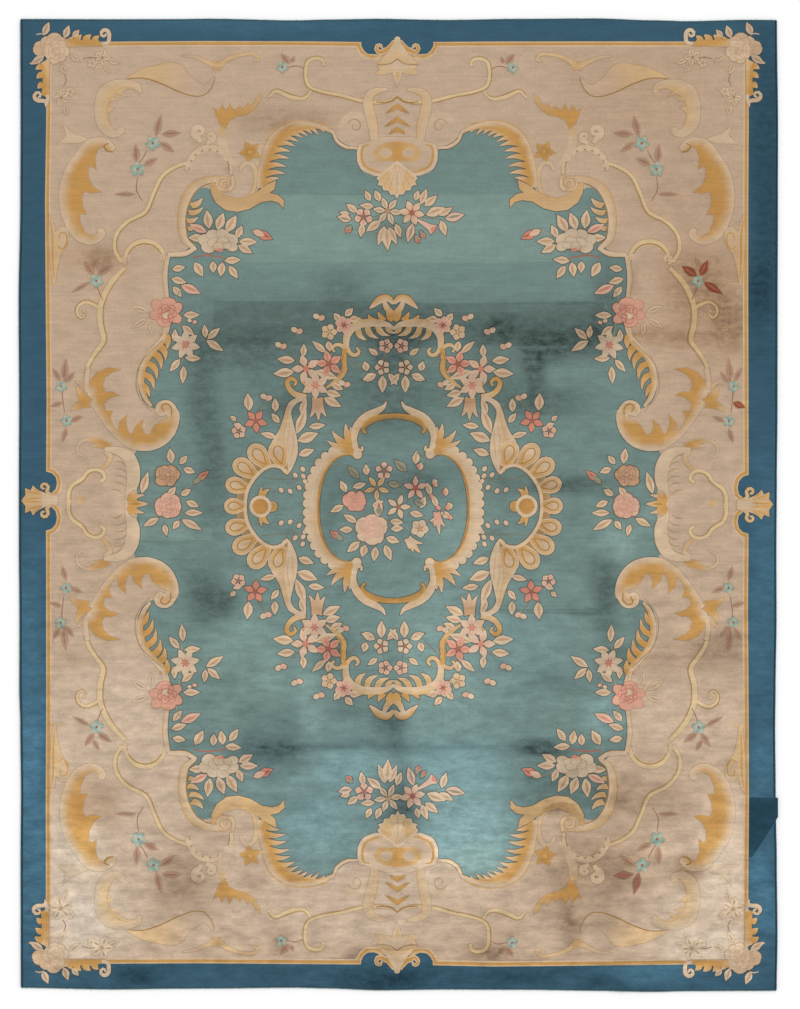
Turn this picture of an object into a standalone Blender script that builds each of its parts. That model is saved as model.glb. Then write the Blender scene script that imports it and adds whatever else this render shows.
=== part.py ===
# A hand-knotted wool rug with an overcast cord down each long side and a bound edge across each end.
# Metres, +Z up. The origin is on the floor under the middle, +Y runs along the rug's length.

import math

import bmesh
import bpy
from mathutils import Vector

RUG_WIDTH = 2.740
RUG_LENGTH = 3.510
PILE_TOP = 0.012
PILE_EDGE_ROUNDING = 0.0025
ROUNDING_STEPS = 2
SEAM_GAP = 0.0003

SIDE_CORD_WIDTH = 0.008
SIDE_CORD_HEIGHT = 0.0105
END_BINDING_WIDTH = 0.005
END_BINDING_HEIGHT = 0.0095
CORNER_TURN = 0.0015
CORNER_TAPER = 0.7
CORNER_CLEARANCE = 0.0018

SECTION_FOOT = 0.30
SECTION_SHOULDER = 0.38
SECTION_ARC_STEPS = 6

ROWS = 40
COLUMNS = 32
FINE_STEP_ACROSS = 0.007
FINE_STEP_ALONG = 0.030

# How far each long side stands outside its straight line, by the distance from the middle of the rug.
# Columns: along (m), left (mm), right (mm).
SIDE_BOW = (
    (-1.755, -4.0, -1.0),
    (-1.550, -3.5, 2.0),
    (-1.300, -3.0, -0.5),
    (-1.050, -4.5, -4.5),
    (-0.800, -2.0, -6.5),
    (-0.670, 1.5, -5.0),
    (-0.410, 1.0, -1.5),
    (-0.160, 3.0, -2.0),
    (0.090, 3.0, -0.5),
    (0.350, 2.0, 2.0),
    (0.720, 4.0, 2.5),
    (1.100, -2.0, 3.5),
    (1.360, -3.0, 4.0),
    (1.755, -2.0, 0.0),
)

# The same for the two ends, by the distance from the middle of the rug.
# Columns: across (m), top end (mm), bottom end (mm).
END_BOW = (
    (-1.370, 4.0, -8.5),
    (-1.020, 3.0, -2.5),
    (-0.800, 3.5, -5.5),
    (-0.690, 5.0, -6.0),
    (-0.370, -1.0, -9.0),
    (-0.260, 2.0, -6.5),
    (-0.070, 4.5, 0.5),
    (0.170, 0.5, -2.5),
    (0.450, 4.5, -1.5),
    (0.710, 6.0, 2.0),
    (0.930, -1.0, 6.0),
    (1.040, -4.0, 3.5),
    (1.260, 1.0, 2.5),
    (1.370, 0.5, 2.0),
)

# Low buckles, where the rug stands a little off the floor. Each rises from nothing at its first point.
# Columns: first x, first y, second x, second y, half width (m), peak (m).
BUCKLES = (
    (0.715, -1.150, 0.815, -1.820, 0.055, 0.0045),
    (0.905, -1.480, 0.880, -1.820, 0.045, 0.0025),
)


def mix(low, high, share):
    """The value at this share of the way from low to high."""
    return low + (high - low) * share


def ease(share):
    """0 to 1 with a level start and a level end."""
    return share * share * (3.0 - 2.0 * share)


def bow(table, place, column):
    """The edge's bow in metres at a place along it, eased from row to row of the table."""
    for before, after in zip(table, table[1:]):
        if place <= after[0]:
            share = min(max((place - before[0]) / (after[0] - before[0]), 0.0), 1.0)
            return mix(before[column], after[column], ease(share)) / 1000
    return table[-1][column] / 1000


def lift(x, y):
    """How far a buckle raises the rug off the floor at this place."""
    height = 0.0
    for x0, y0, x1, y1, half_width, peak in BUCKLES:
        start = Vector((x0, y0))
        run = Vector((x1, y1)) - start
        offset = Vector((x, y)) - start
        share = min(max(offset.dot(run) / run.length_squared, 0.0), 1.0)
        away = abs(offset.cross(run)) / run.length
        if away < half_width:
            height = max(height, peak * ease(share) * math.cos(math.pi / 2 * away / half_width) ** 2)
    return height


def body_point(across, along):
    """The rug body's point at these shares of its width and length, on the floor plane."""
    half_width = RUG_WIDTH / 2 - SIDE_CORD_WIDTH - SEAM_GAP
    half_length = RUG_LENGTH / 2 - END_BINDING_WIDTH - SEAM_GAP
    level = mix(-half_length, half_length, along)
    left = -half_width - bow(SIDE_BOW, level, 1)
    right = half_width + bow(SIDE_BOW, level, 2)
    x = mix(left, right, across)
    top = half_length + bow(END_BOW, x, 1)
    bottom = -half_length - bow(END_BOW, x, 2)
    return Vector((x, mix(bottom, top, along)))


def shares(count, size, low, high, fine_step):
    """Shares from 0 to 1: even steps, and fine ones over the stretch from low to high metres."""
    even = [step / count for step in range(count + 1)]
    first = max(low / size + 0.5, 0.0)
    last = min(high / size + 0.5, 1.0)
    fine_count = round((last - first) * size / fine_step)
    fine = [mix(first, last, step / fine_count) for step in range(fine_count + 1)]
    outside = [share for share in even if share < first - 0.004 or share > last + 0.004]
    return sorted(outside + fine)


def buckled_shares():
    """The grid's column and row shares, finer where the buckles are."""
    lows_x = [min(row[0], row[2]) - row[4] for row in BUCKLES]
    highs_x = [max(row[0], row[2]) + row[4] for row in BUCKLES]
    highs_y = [row[1] for row in BUCKLES]
    columns = shares(COLUMNS, RUG_WIDTH, min(lows_x), max(highs_x), FINE_STEP_ACROSS)
    rows = shares(ROWS, RUG_LENGTH, -RUG_LENGTH / 2, max(highs_y), FINE_STEP_ALONG)
    return columns, rows


def wool(name, colour, roughness):
    """A matt wool material."""
    material = bpy.data.materials.new(name)
    material.use_nodes = True
    surface = material.node_tree.nodes["Principled BSDF"]
    surface.inputs["Base Color"].default_value = (*colour, 1.0)
    surface.inputs["Roughness"].default_value = roughness
    surface.inputs["Metallic"].default_value = 0.0
    material.diffuse_color = (*colour, 1.0)
    return material


def make_body(columns, rows, collection):
    """The knotted ground and its cut pile: one flat sheet with rounded upper edges."""
    sheet = bmesh.new()
    bmesh.ops.create_grid(sheet, x_segments=len(columns) - 1, y_segments=len(rows) - 1, size=0.5)
    for vertex in sheet.verts:
        column = round((vertex.co.x + 0.5) * (len(columns) - 1))
        row = round((vertex.co.y + 0.5) * (len(rows) - 1))
        place = body_point(columns[column], rows[row])
        vertex.co = (place.x, place.y, lift(place.x, place.y))
    grown = bmesh.ops.extrude_face_region(sheet, geom=sheet.faces[:])["geom"]
    upper = [item for item in grown if isinstance(item, bmesh.types.BMVert)]
    bmesh.ops.translate(sheet, verts=upper, vec=(0.0, 0.0, PILE_TOP))
    bmesh.ops.recalc_face_normals(sheet, faces=sheet.faces[:])
    upper_set = set(upper)
    rim = [
        edge
        for edge in sheet.edges
        if edge.verts[0] in upper_set
        and edge.verts[1] in upper_set
        and any(abs(face.normal.z) < 0.5 for face in edge.link_faces)
    ]
    bmesh.ops.bevel(
        sheet, geom=rim, offset=PILE_EDGE_ROUNDING, segments=ROUNDING_STEPS, profile=0.5, affect="EDGES"
    )
    mesh = bpy.data.meshes.new("rug_body")
    sheet.to_mesh(mesh)
    sheet.free()
    body = bpy.data.objects.new("rug_body", mesh)
    mesh.materials.append(wool("carved pile wool", (0.105, 0.245, 0.245), 0.95))
    collection.objects.link(body)


def yarn_section(name, width, height, guides):
    """The cross-section of an overcast edge: flat where it lies on the floor, round above."""
    corners = [(-SECTION_FOOT * width, 0.0), (SECTION_FOOT * width, 0.0)]
    for step in range(SECTION_ARC_STEPS + 1):
        angle = math.pi * step / SECTION_ARC_STEPS
        rise = SECTION_SHOULDER * height
        corners.append((width / 2 * math.cos(angle), rise + (height - rise) * math.sin(angle)))
    outline = bpy.data.curves.new(name, "CURVE")
    outline.dimensions = "2D"
    spline = outline.splines.new("POLY")
    spline.points.add(len(corners) - 1)
    for point, (side, up) in zip(spline.points, reversed(corners)):
        point.co = (side, up, 0.0, 1.0)
    spline.use_cyclic_u = True
    section = bpy.data.objects.new(name, outline)
    section.hide_render = True
    section.display_type = "WIRE"
    guides.objects.link(section)
    return section


def make_edging(name, path, end_radius, section, material, collection):
    """An overcast edge: the section swept along the path and narrowed to end_radius at its filled ends."""
    curve = bpy.data.curves.new(name, "CURVE")
    curve.dimensions = "3D"
    curve.twist_mode = "Z_UP"
    curve.bevel_mode = "OBJECT"
    curve.bevel_object = section
    curve.use_fill_caps = True
    spline = curve.splines.new("POLY")
    spline.points.add(len(path) - 1)
    for point, place in zip(spline.points, path):
        point.co = (*place, 1.0)
    spline.points[0].radius = end_radius
    spline.points[-1].radius = end_radius
    curve.materials.append(material)
    collection.objects.link(bpy.data.objects.new(name, curve))


def side_path(across, rows):
    """The middle line of a side cord, just outside the body, turned in a little past each corner."""
    outward = -1.0 if across == 0.0 else 1.0
    offset = Vector((outward * (SEAM_GAP + SIDE_CORD_WIDTH / 2), 0.0))
    beside = [body_point(across, share) + offset for share in rows]
    turn = Vector((-outward * CORNER_TURN, SEAM_GAP + END_BINDING_WIDTH))
    last = beside[-1] + turn
    first = beside[0] + Vector((turn.x, -turn.y))
    return [(place.x, place.y, 0.0) for place in (first, *beside, last)]


def end_path(along, columns):
    """The middle line of an end binding, just outside the body and between the side cords."""
    outward = -1.0 if along == 0.0 else 1.0
    offset = outward * (SEAM_GAP + END_BINDING_WIDTH / 2)
    places = [body_point(share, along) for share in columns]
    places[0].x += CORNER_CLEARANCE
    places[-1].x -= CORNER_CLEARANCE
    return [(place.x, place.y + offset, lift(place.x, place.y)) for place in places]


def main():
    for old in list(bpy.data.objects):
        bpy.data.objects.remove(old)
    rug = bpy.data.collections.new("medallion rug")
    guides = bpy.data.collections.new("section guides")
    bpy.context.scene.collection.children.link(rug)
    bpy.context.scene.collection.children.link(guides)
    guides.hide_render = True

    columns, rows = buckled_shares()
    make_body(columns, rows, rug)

    cord_section = yarn_section("side cord section", SIDE_CORD_WIDTH, SIDE_CORD_HEIGHT, guides)
    cord_wool = wool("overcast side wool", (0.022, 0.066, 0.085), 0.9)
    make_edging("side_cord_left", side_path(0.0, rows), CORNER_TAPER, cord_section, cord_wool, rug)
    make_edging("side_cord_right", side_path(1.0, rows), CORNER_TAPER, cord_section, cord_wool, rug)

    binding_section = yarn_section("end binding section", END_BINDING_WIDTH, END_BINDING_HEIGHT, guides)
    binding_wool = wool("bound end yarn", (0.050, 0.110, 0.105), 0.9)
    make_edging("end_binding_top", end_path(1.0, columns), 1.0, binding_section, binding_wool, rug)
    make_edging("end_binding_bottom", end_path(0.0, columns), 1.0, binding_section, binding_wool, rug)


main()
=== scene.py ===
import math

import bpy
import numpy as np
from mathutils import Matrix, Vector
from mathutils.geometry import delaunay_2d_cdt


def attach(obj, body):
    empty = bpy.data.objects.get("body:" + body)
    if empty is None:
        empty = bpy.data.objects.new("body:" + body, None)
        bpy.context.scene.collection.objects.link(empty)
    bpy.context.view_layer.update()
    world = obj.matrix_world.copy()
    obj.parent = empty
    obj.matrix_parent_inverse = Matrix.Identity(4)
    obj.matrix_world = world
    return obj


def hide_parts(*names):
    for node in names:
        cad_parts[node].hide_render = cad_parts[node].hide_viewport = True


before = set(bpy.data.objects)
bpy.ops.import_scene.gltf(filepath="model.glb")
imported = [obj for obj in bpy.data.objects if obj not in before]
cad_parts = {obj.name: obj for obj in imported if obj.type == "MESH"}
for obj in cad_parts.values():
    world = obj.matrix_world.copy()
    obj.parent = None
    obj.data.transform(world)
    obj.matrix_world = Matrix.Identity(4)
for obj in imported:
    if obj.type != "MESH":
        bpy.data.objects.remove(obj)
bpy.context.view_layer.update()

# The rug lies flat on a pale studio floor and is seen from straight above.
# A white room lights it all round, and one wide soft light low on the left picks out the carving.
VIEW_HEIGHT = 8.6242
VIEW_ACROSS = 0.0058
VIEW_ALONG = 0.0022
ROOM_BRIGHTNESS = 0.74
KEY_STRENGTH = 1.25
KEY_TILT = math.radians(38)
KEY_TURN = math.radians(128)
KEY_SPREAD = math.radians(35)


def linear(colour):
    """An sRGB hex colour as the three linear numbers that Blender works in."""
    levels = [int(colour[place : place + 2], 16) / 255 for place in (1, 3, 5)]
    return tuple(level / 12.92 if level <= 0.04045 else ((level + 0.055) / 1.055) ** 2.4 for level in levels)


def add_node(material, kind, settings=(), **inputs):
    """Adds a node. settings are its own options; an input is a value, or the output that is linked to it."""
    node = material.node_tree.nodes.new(kind)
    for name, value in dict(settings).items():
        setattr(node, name, value)
    for name, value in inputs.items():
        socket = node.inputs[int(name[1:])] if name[0] == "i" and name[1:].isdigit() else node.inputs[name]
        if isinstance(value, bpy.types.NodeSocket):
            material.node_tree.links.new(value, socket)
        else:
            socket.default_value = value
    return node


def finish_material(name, roughness, **inputs):
    """A new material with this roughness; the caller's builder links the rest to its shader."""
    material = bpy.data.materials.new(name)
    material.use_nodes = True
    shader = material.node_tree.nodes["Principled BSDF"]
    shader.inputs["Roughness"].default_value = roughness
    for socket, value in inputs.items():
        shader.inputs[socket.replace("_", " ")].default_value = value
    return material, shader


bpy.ops.object.select_all(action="DESELECT")
camera_data = bpy.data.cameras.new("camera above")
camera_data.lens = 85.0
camera_data.sensor_width = 36.0
camera = bpy.data.objects.new("camera above", camera_data)
camera.location = (VIEW_ACROSS, VIEW_ALONG, VIEW_HEIGHT)
bpy.context.scene.collection.objects.link(camera)
bpy.context.scene.camera = camera

bpy.context.scene.view_settings.view_transform = "Standard"
room = bpy.data.worlds.new("white room")
room.use_nodes = True
room.node_tree.nodes["Background"].inputs["Color"].default_value = (1.0, 1.0, 1.0, 1.0)
room.node_tree.nodes["Background"].inputs["Strength"].default_value = ROOM_BRIGHTNESS
bpy.context.scene.world = room

key_data = bpy.data.lights.new("wide soft light", "SUN")
key_data.energy = KEY_STRENGTH
key_data.angle = KEY_SPREAD
key_light = bpy.data.objects.new("wide soft light", key_data)
key_light.rotation_euler = (KEY_TILT, 0.0, KEY_TURN)
bpy.context.scene.collection.objects.link(key_light)

bpy.ops.mesh.primitive_plane_add(size=24.0, location=(0.0, 0.0, -0.0005))
floor = bpy.context.object
floor.name = "studio_floor"
floor_paint, floor_shader = finish_material("matt white studio floor", 0.9, Specular_IOR_Level=0.0)
floor_shader.inputs["Base Color"].default_value = (0.96, 0.96, 0.96, 1.0)
floor.data.materials.append(floor_paint)

# The outline of the knotted rug, between the cords of its long sides and the bindings of its ends.
# A hand-knotted rug is never quite straight, and two low buckles lift it off the floor by the bottom
# right corner.
RUG_WIDTH = 2.740
RUG_LENGTH = 3.510
SEAM_GAP = 0.0003
SIDE_CORD_WIDTH = 0.008
END_BINDING_WIDTH = 0.005
OUTLINE_STEP = 0.030
# along (m), left (mm), right (mm)
SIDE_BOW = (
    (-1.755, -4.0, -1.0), (-1.550, -3.5, 2.0), (-1.300, -3.0, -0.5), (-1.050, -4.5, -4.5),
    (-0.800, -2.0, -6.5), (-0.670, 1.5, -5.0), (-0.410, 1.0, -1.5), (-0.160, 3.0, -2.0), (0.090, 3.0, -0.5),
    (0.350, 2.0, 2.0), (0.720, 4.0, 2.5), (1.100, -2.0, 3.5), (1.360, -3.0, 4.0), (1.755, -2.0, 0.0),
)
# across (m), top end (mm), bottom end (mm)
END_BOW = (
    (-1.370, 4.0, -8.5), (-1.020, 3.0, -2.5), (-0.800, 3.5, -5.5), (-0.690, 5.0, -6.0), (-0.370, -1.0, -9.0),
    (-0.260, 2.0, -6.5), (-0.070, 4.5, 0.5), (0.170, 0.5, -2.5), (0.450, 4.5, -1.5), (0.710, 6.0, 2.0),
    (0.930, -1.0, 6.0), (1.040, -4.0, 3.5), (1.260, 1.0, 2.5), (1.370, 0.5, 2.0),
)
# first x, first y, second x, second y, half width (m), peak (m)
BUCKLES = ((0.715, -1.150, 0.815, -1.820, 0.055, 0.0045), (0.905, -1.480, 0.880, -1.820, 0.045, 0.0025))


def mix(low, high, share):
    """The value at this share of the way from low to high."""
    return low + (high - low) * share


def ease(share):
    """0 to 1 with a level start and a level end."""
    return share * share * (3.0 - 2.0 * share)


def bow(table, place, column):
    """The edge's bow in metres at a place along it, eased from row to row of the table."""
    for before, after in zip(table, table[1:]):
        if place <= after[0]:
            share = min(max((place - before[0]) / (after[0] - before[0]), 0.0), 1.0)
            return mix(before[column], after[column], ease(share)) / 1000
    return table[-1][column] / 1000


def lift(x, y):
    """How far a buckle raises the rug off the floor at this place."""
    height = 0.0
    for x0, y0, x1, y1, half_width, peak in BUCKLES:
        start = Vector((x0, y0))
        run = Vector((x1, y1)) - start
        offset = Vector((x, y)) - start
        share = min(max(offset.dot(run) / run.length_squared, 0.0), 1.0)
        away = abs(offset.cross(run)) / run.length
        if away < half_width:
            height = max(height, peak * ease(share) * math.cos(math.pi / 2 * away / half_width) ** 2)
    return height


def body_point(across, along):
    """The rug body's point at these shares of its width and length, on the floor plane."""
    half_width = RUG_WIDTH / 2 - SIDE_CORD_WIDTH - SEAM_GAP
    half_length = RUG_LENGTH / 2 - END_BINDING_WIDTH - SEAM_GAP
    level = mix(-half_length, half_length, along)
    left = -half_width - bow(SIDE_BOW, level, 1)
    right = half_width + bow(SIDE_BOW, level, 2)
    x = mix(left, right, across)
    top = half_length + bow(END_BOW, x, 1)
    bottom = -half_length - bow(END_BOW, x, 2)
    return Vector((x, mix(bottom, top, along)))


def edge_points(count, point):
    """Points at even shares from 0 up to, and without, 1."""
    return [point(step / count) for step in range(count)]


steps_across = round(RUG_WIDTH / OUTLINE_STEP)
steps_along = round(RUG_LENGTH / OUTLINE_STEP)
outline = (
    edge_points(steps_across, lambda share: body_point(share, 0.0))
    + edge_points(steps_along, lambda share: body_point(1.0, share))
    + edge_points(steps_across, lambda share: body_point(1.0 - share, 1.0))
    + edge_points(steps_along, lambda share: body_point(0.0, 1.0 - share))
)
outline = np.array(outline)

# The cartoon: such a rug is knotted row by row from a drawing on squared paper, one square to a knot.
# Places in the pattern are counted in squares across and down, and each motif is drawn once and turned over.
KNOT = 0.003615
CARTOON_MIDDLE = (398.4, 505.1)
PATTERN_MIDDLE = (397.3, 504.0)
DYES = {
    "border": "#385869", "dark border": "#233f4d", "beige": "#b89f87", "field": "#6d827d",
    "light field": "#748a83", "dark field": "#657873", "cream": "#c5ad91", "pale": "#c1a88c",
    "straw": "#c9af88", "gold": "#c4a47b", "honey": "#bc996c", "ochre": "#b88b50", "amber": "#ab7d48",
    "brown": "#9a7646", "umber": "#9f8565", "blush": "#c8a48d", "pink": "#c6957f", "rose": "#bf7e6a",
    "wine": "#9b5f4e", "brick": "#874a34", "peach": "#b5906f", "mauve": "#a4846f", "plum": "#8f6a58",
    "rust": "#966f5a", "moss": "#8b8670", "bark": "#75705c", "dusk": "#5c5e54", "shade": "#a68c72",
    "aqua": "#b1bba8", "slate": "#6d8a82", "white": "#c2ae94",
}


def area(loop, wool, rim=None, fade=None, carved=True, rim_width=0.8, layer="motif"):
    """One patch of wool: its outline, its dye, the dye of the line round it, a second dye that it fades to
    from one place to another, and whether the shears cut a groove round it."""
    loop = np.array(loop, float)
    apart = np.linalg.norm(loop - np.roll(loop, 1, axis=0), axis=1) > 0.35
    return {
        "loop": loop[apart], "wool": wool, "rim": rim, "fade": fade, "carved": carved, "rim_width": rim_width,
        "layer": layer,
    }


def turned_over(areas, across=False, down=False, middle=PATTERN_MIDDLE):
    """The same areas mirrored across, down or both, about the middle of the pattern."""
    scale = np.array((-1.0 if across else 1.0, -1.0 if down else 1.0))
    shift = np.array(middle) * (1.0 - scale)
    copies = []
    for one in areas:
        copy = dict(one, loop=one["loop"] * scale + shift)
        if one["fade"]:
            wool, *places = one["fade"]
            copy["fade"] = (
                wool,
                *[np.array(place) * scale + shift if np.ndim(place) else place for place in places],
            )
        copies.append(copy)
    return copies


def both_sides(areas, middle=PATTERN_MIDDLE):
    """A motif of the left half and its twin on the right."""
    return areas + turned_over(areas, across=True, middle=middle)


def four_times(areas, middle=PATTERN_MIDDLE):
    """A motif of the upper left quarter in all four quarters."""
    upper = both_sides(areas, middle)
    return upper + turned_over(upper, down=True, middle=middle)


def flow(points, step=2.4, closed=False):
    """A smooth line through the points, with a point about every step squares."""
    knots = np.array(points, float)
    if closed:
        knots = np.vstack([knots[-1:], knots, knots[:2]])
    else:
        knots = np.vstack([2 * knots[0] - knots[1], knots, 2 * knots[-1] - knots[-2]])
    line = []
    for a, b, c, d in zip(knots, knots[1:], knots[2:], knots[3:]):
        before, here, after = [max(math.dist(p, q), 0.01) ** 0.5 for p, q in ((a, b), (b, c), (c, d))]
        leave = (c - b) + here * ((b - a) / before - (c - a) / (before + here))
        arrive = (c - b) + here * ((d - c) / after - (d - b) / (here + after))
        count = max(1, round(math.dist(b, c) / step))
        for share in np.arange(count) / count:
            rise = share * share * (3 - 2 * share)
            away = leave * share * (1 - share) ** 2 - arrive * share * share * (1 - share)
            line.append(b * (1 - rise) + c * rise + away)
    if not closed:
        line.append(knots[-2])
    return np.array(line)


def sides_of(line):
    """Each point's share of the way along a line, and the direction to the left of it there."""
    steps = np.linalg.norm(np.diff(line, axis=0), axis=1)
    share = np.concatenate([[0], np.cumsum(steps)]) / steps.sum()
    ahead = np.gradient(line, axis=0)
    ahead /= np.maximum(np.linalg.norm(ahead, axis=1), 1e-6)[:, None]
    return share, ahead[:, ::-1] * (1, -1)


def band(spine, widths, wool, rim=None, step=2.4, offset=0.0, **more):
    """A ribbon of wool along a line, as wide at even places along it as the widths say."""
    line = flow(spine, step)
    share, left = sides_of(line)
    half = np.interp(share, np.linspace(0, 1, len(widths)), widths)[:, None] / 2
    line = line + left * offset
    return [area(np.vstack([line + left * half, (line - left * half)[::-1]]), wool, rim, **more)]


def leaf(base, tip, width, wool="cream", core="peach", bend=0.0, fat=0.85, fade=None, rim=None):
    """A pointed leaf with a deeper core. bend bows it to one side, as a share of its length."""
    base = np.array(base, float)
    along = np.array(tip, float) - base
    length = math.hypot(*along)
    left = np.array((along[1], -along[0])) / length

    def edge(share, side):
        middle = base + share * along + left * bend * length * 4 * share * (1 - share)
        return middle + left * side * width / 2 * np.sin(math.pi * np.clip(share, 0, 1) ** fat) ** 1.2

    share = np.linspace(0, 1, 5 if length < 18 else 7)[:, None]
    parts = [area(np.vstack([edge(share, 1), edge(share, -1)[-2:0:-1]]), wool, rim, fade)]
    if core:
        share = np.array((0.06, 0.36, 0.62, 0.86))[:, None]
        parts.append(area(np.vstack([edge(share, 0.42), edge(share[1:3], -0.2)[::-1]]), core, carved=False))
    return parts


def claw(root, tip, width, wool="ochre", end="cream", bend=0.14):
    """A curved, pointed finger of an acanthus leaf, which pales from its root to its tip."""
    root = np.array(root, float)
    along = np.array(tip, float) - root
    left = np.array((along[1], -along[0]))
    share = np.array((0.0, 0.3, 0.6, 0.85))[:, None]
    middle = root + share * along + left * bend * 4 * share * (1 - share)
    half = left / math.hypot(*along) * width / 2 * np.array((1.0, 0.95, 0.7, 0.34))[:, None]
    loop = np.vstack([middle + half, [root + along], (middle - half)[::-1]])
    return [area(loop, end, fade=(wool, root + along * 0.35, root + along * 0.95))]


def claws(rows, wool="ochre", end="cream"):
    """Fingers from rows of root across, root down, tip across, tip down, width, bend."""
    parts = []
    for across, down, tip_across, tip_down, width, bend in rows:
        parts += claw((across, down), (tip_across, tip_down), width, wool, end, bend)
    return parts


def shaded(spine, widths, wool, edge_wool, side=1, near=1.0, far=7.0, **more):
    """A broad ribbon that turns softly from one wool along one edge to another wool across the rest of it."""
    track = flow(spine)
    share, left = sides_of(track)
    half = np.interp(share, np.linspace(0, 1, len(widths)), widths)[:, None] / 2
    return band(spine, widths, wool, fade=(edge_wool, track + side * left * half, near, far), **more)


def disc(centre, across, down=None, turn=0.0, points=8, **more):
    """The outline of a round or oval patch."""
    angles = np.linspace(0, 2 * math.pi, points, endpoint=False)
    across_axis = np.array((math.cos(turn), math.sin(turn)))
    down_axis = np.array((-math.sin(turn), math.cos(turn)))
    reach = (
        np.cos(angles)[:, None] * across_axis * across
        + np.sin(angles)[:, None] * down_axis * (down or across)
    )
    return np.array(centre) + reach


def arc(centre, radius, start, end, step=20.0, down=None):
    """Points on part of a circle or oval, from one angle to another in degrees, clockwise from the right."""
    count = max(2, round(abs(end - start) / step))
    angles = np.radians(np.linspace(start, end, count + 1))
    return [(centre[0] + radius * math.cos(a), centre[1] + (down or radius) * math.sin(a)) for a in angles]


def winding(eye, radius, start, turns, points=9):
    """Points that wind in to the eye of a scroll, clockwise where turns is above 0."""
    shares = np.linspace(0, 1, points)
    angles = np.radians(start) + shares * turns * 2 * math.pi
    reach = radius * (1 - 0.78 * shares)
    return list(zip(eye[0] + reach * np.cos(angles), eye[1] + reach * np.sin(angles)))


def petals(centre, reach, count, width, wool, heart, turn=0.0, shade=None, inner=0.12, fat=1.25, fade=None):
    """A flower seen from the front. fat above 1 rounds the petals' ends, and shade is their core."""
    parts = []
    centre = np.array(centre, float)
    for number in range(count):
        angle = math.radians(turn) + 2 * math.pi * number / count
        way = np.array((math.cos(angle), math.sin(angle)))
        glow = (fade, centre, centre + way * reach * 0.7) if fade else None
        slim = width if fat > 1 else width * 0.88
        parts += leaf(
            centre + way * reach * inner, centre + way * reach, slim, wool, shade, fat=fat, fade=glow
        )
    return parts + [area(disc(centre, max(reach * 0.22, 1.3), points=6), heart, carved=False)]


def rose(centre, radius, wools=("blush", "pink", "rose"), squash=0.86, turn=0.0, heart="cream"):
    """A full rose: three rings of uneven petals, each paler at its lip and outlined in the deep wool."""
    outer, middle, deep = wools
    centre = np.array(centre, float)
    uneven = np.random.default_rng(round(centre[0] + centre[1]))
    parts = []
    rings = ((0.72, 0.42, 7, outer, middle), (0.42, 0.36, 6, outer, middle), (0.18, 0.27, 4, outer, deep))
    for ring, (away, size, count, wool, inward) in enumerate(rings):
        for number in range(count):
            angle = (
                math.radians(turn + 37 * ring)
                + 2 * math.pi * (number + uneven.uniform(-0.2, 0.2)) / count
            )
            way = np.array((math.cos(angle), math.sin(angle) * squash))
            place = centre + way * away * radius * uneven.uniform(0.88, 1.1)
            reach = size * radius * uneven.uniform(0.85, 1.12)
            loop = disc(place, reach, reach * 0.8, angle + math.pi / 2, points=9)
            fade = (inward, place - way * reach * 0.9, place + way * reach * 0.6)
            parts.append(area(loop, wool, fade=fade, rim=deep if radius > 9 else None, rim_width=0.5))
    return parts + [area(disc(centre, 0.12 * radius, points=6), heart, carved=False)]


def outer_petals(centre, away, reach, wool, rim, inner_wool, count=7):
    """The uneven outer petals of a full rose, laid one over another."""
    uneven = np.random.default_rng(round(centre[0] * 3 + centre[1]))
    parts = []
    centre = np.array(centre, float)
    for number in uneven.permutation(count):
        angle = 2 * math.pi * (number + uneven.uniform(-0.25, 0.25)) / count
        place = (
            centre
            + np.array((math.cos(angle), math.sin(angle) * 0.82)) * away * uneven.uniform(0.82, 1.12)
        )
        size = reach * uneven.uniform(0.85, 1.2)
        loop = disc(place, size, size * 0.72, angle + uneven.uniform(0.9, 2.2), points=9)
        parts.append(area(loop, wool, rim=rim, rim_width=0.5, fade=(inner_wool, centre, place)))
    return parts


def bud(base, tip, width, wool="rose", cup="moss"):
    """A closed bud in its cup."""
    base = np.array(base, float)
    tip = np.array(tip, float)
    neck = mix(base, tip, 0.3)
    return (
        leaf(neck, tip, width, wool, "wine", fat=0.7)
        + leaf(base, mix(base, tip, 0.62), width * 0.8, cup, None)
    )


def bell(base, tip, width, wool="blush", inside="rose"):
    """A bell flower from its stalk to its open mouth."""
    base = np.array(base, float)
    along = np.array(tip, float) - base
    left = np.array((along[1], -along[0])) / math.hypot(*along) * width
    shape = ((0.0, 0.12), (0.35, 0.22), (0.75, 0.34), (1.0, 0.62))
    one = [base + along * far + left * out for far, out in shape]
    other = [base + along * far - left * out for far, out in shape[::-1]]
    mouth = [base + along * 0.9 - left * 0.25, base + along * 1.08]
    lip = [base + along * 1.0 + left * 0.5, base + along * 0.82, base + along * 1.0 - left * 0.5, mouth[1]]
    return [area(one + [mouth[1]] + other, wool), area(lip, inside, carved=False)]


def berries(centre, size=2.6, wool="cream"):
    """Two small round buds side by side on a short stalk."""
    across, down = centre
    parts = band(
        [(across, down + 5), (across + 1.5, down), (across - 1, down - 2)], [0.8, 0.8], "moss", carved=False
    )
    parts.append(area(disc((across - 2.6, down - 1), size, size * 0.8, 0.5, 7), wool))
    parts.append(area(
        disc((across + 2.6, down + 0.6), size, size * 0.8, -0.4, 7),
        "blush",
        fade=("pink", (across, down), (across + 4, down + 1)),
    ))
    return parts


def grown(loop, distance):
    """A closed outline moved outwards by a distance, or inwards where it is below 0."""
    following = np.roll(loop, -1, axis=0) - loop
    across, down = loop.T
    turning = np.sum(across * np.roll(down, -1) - np.roll(across, -1) * down)
    following /= np.linalg.norm(following, axis=1)[:, None]
    away = following[:, ::-1] * (1, -1) * np.sign(turning)
    corner = away + np.roll(away, 1, axis=0)
    corner /= np.maximum(np.sum(corner * np.roll(away, 1, axis=0), axis=1), 0.5)[:, None]
    return loop + corner * distance


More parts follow.
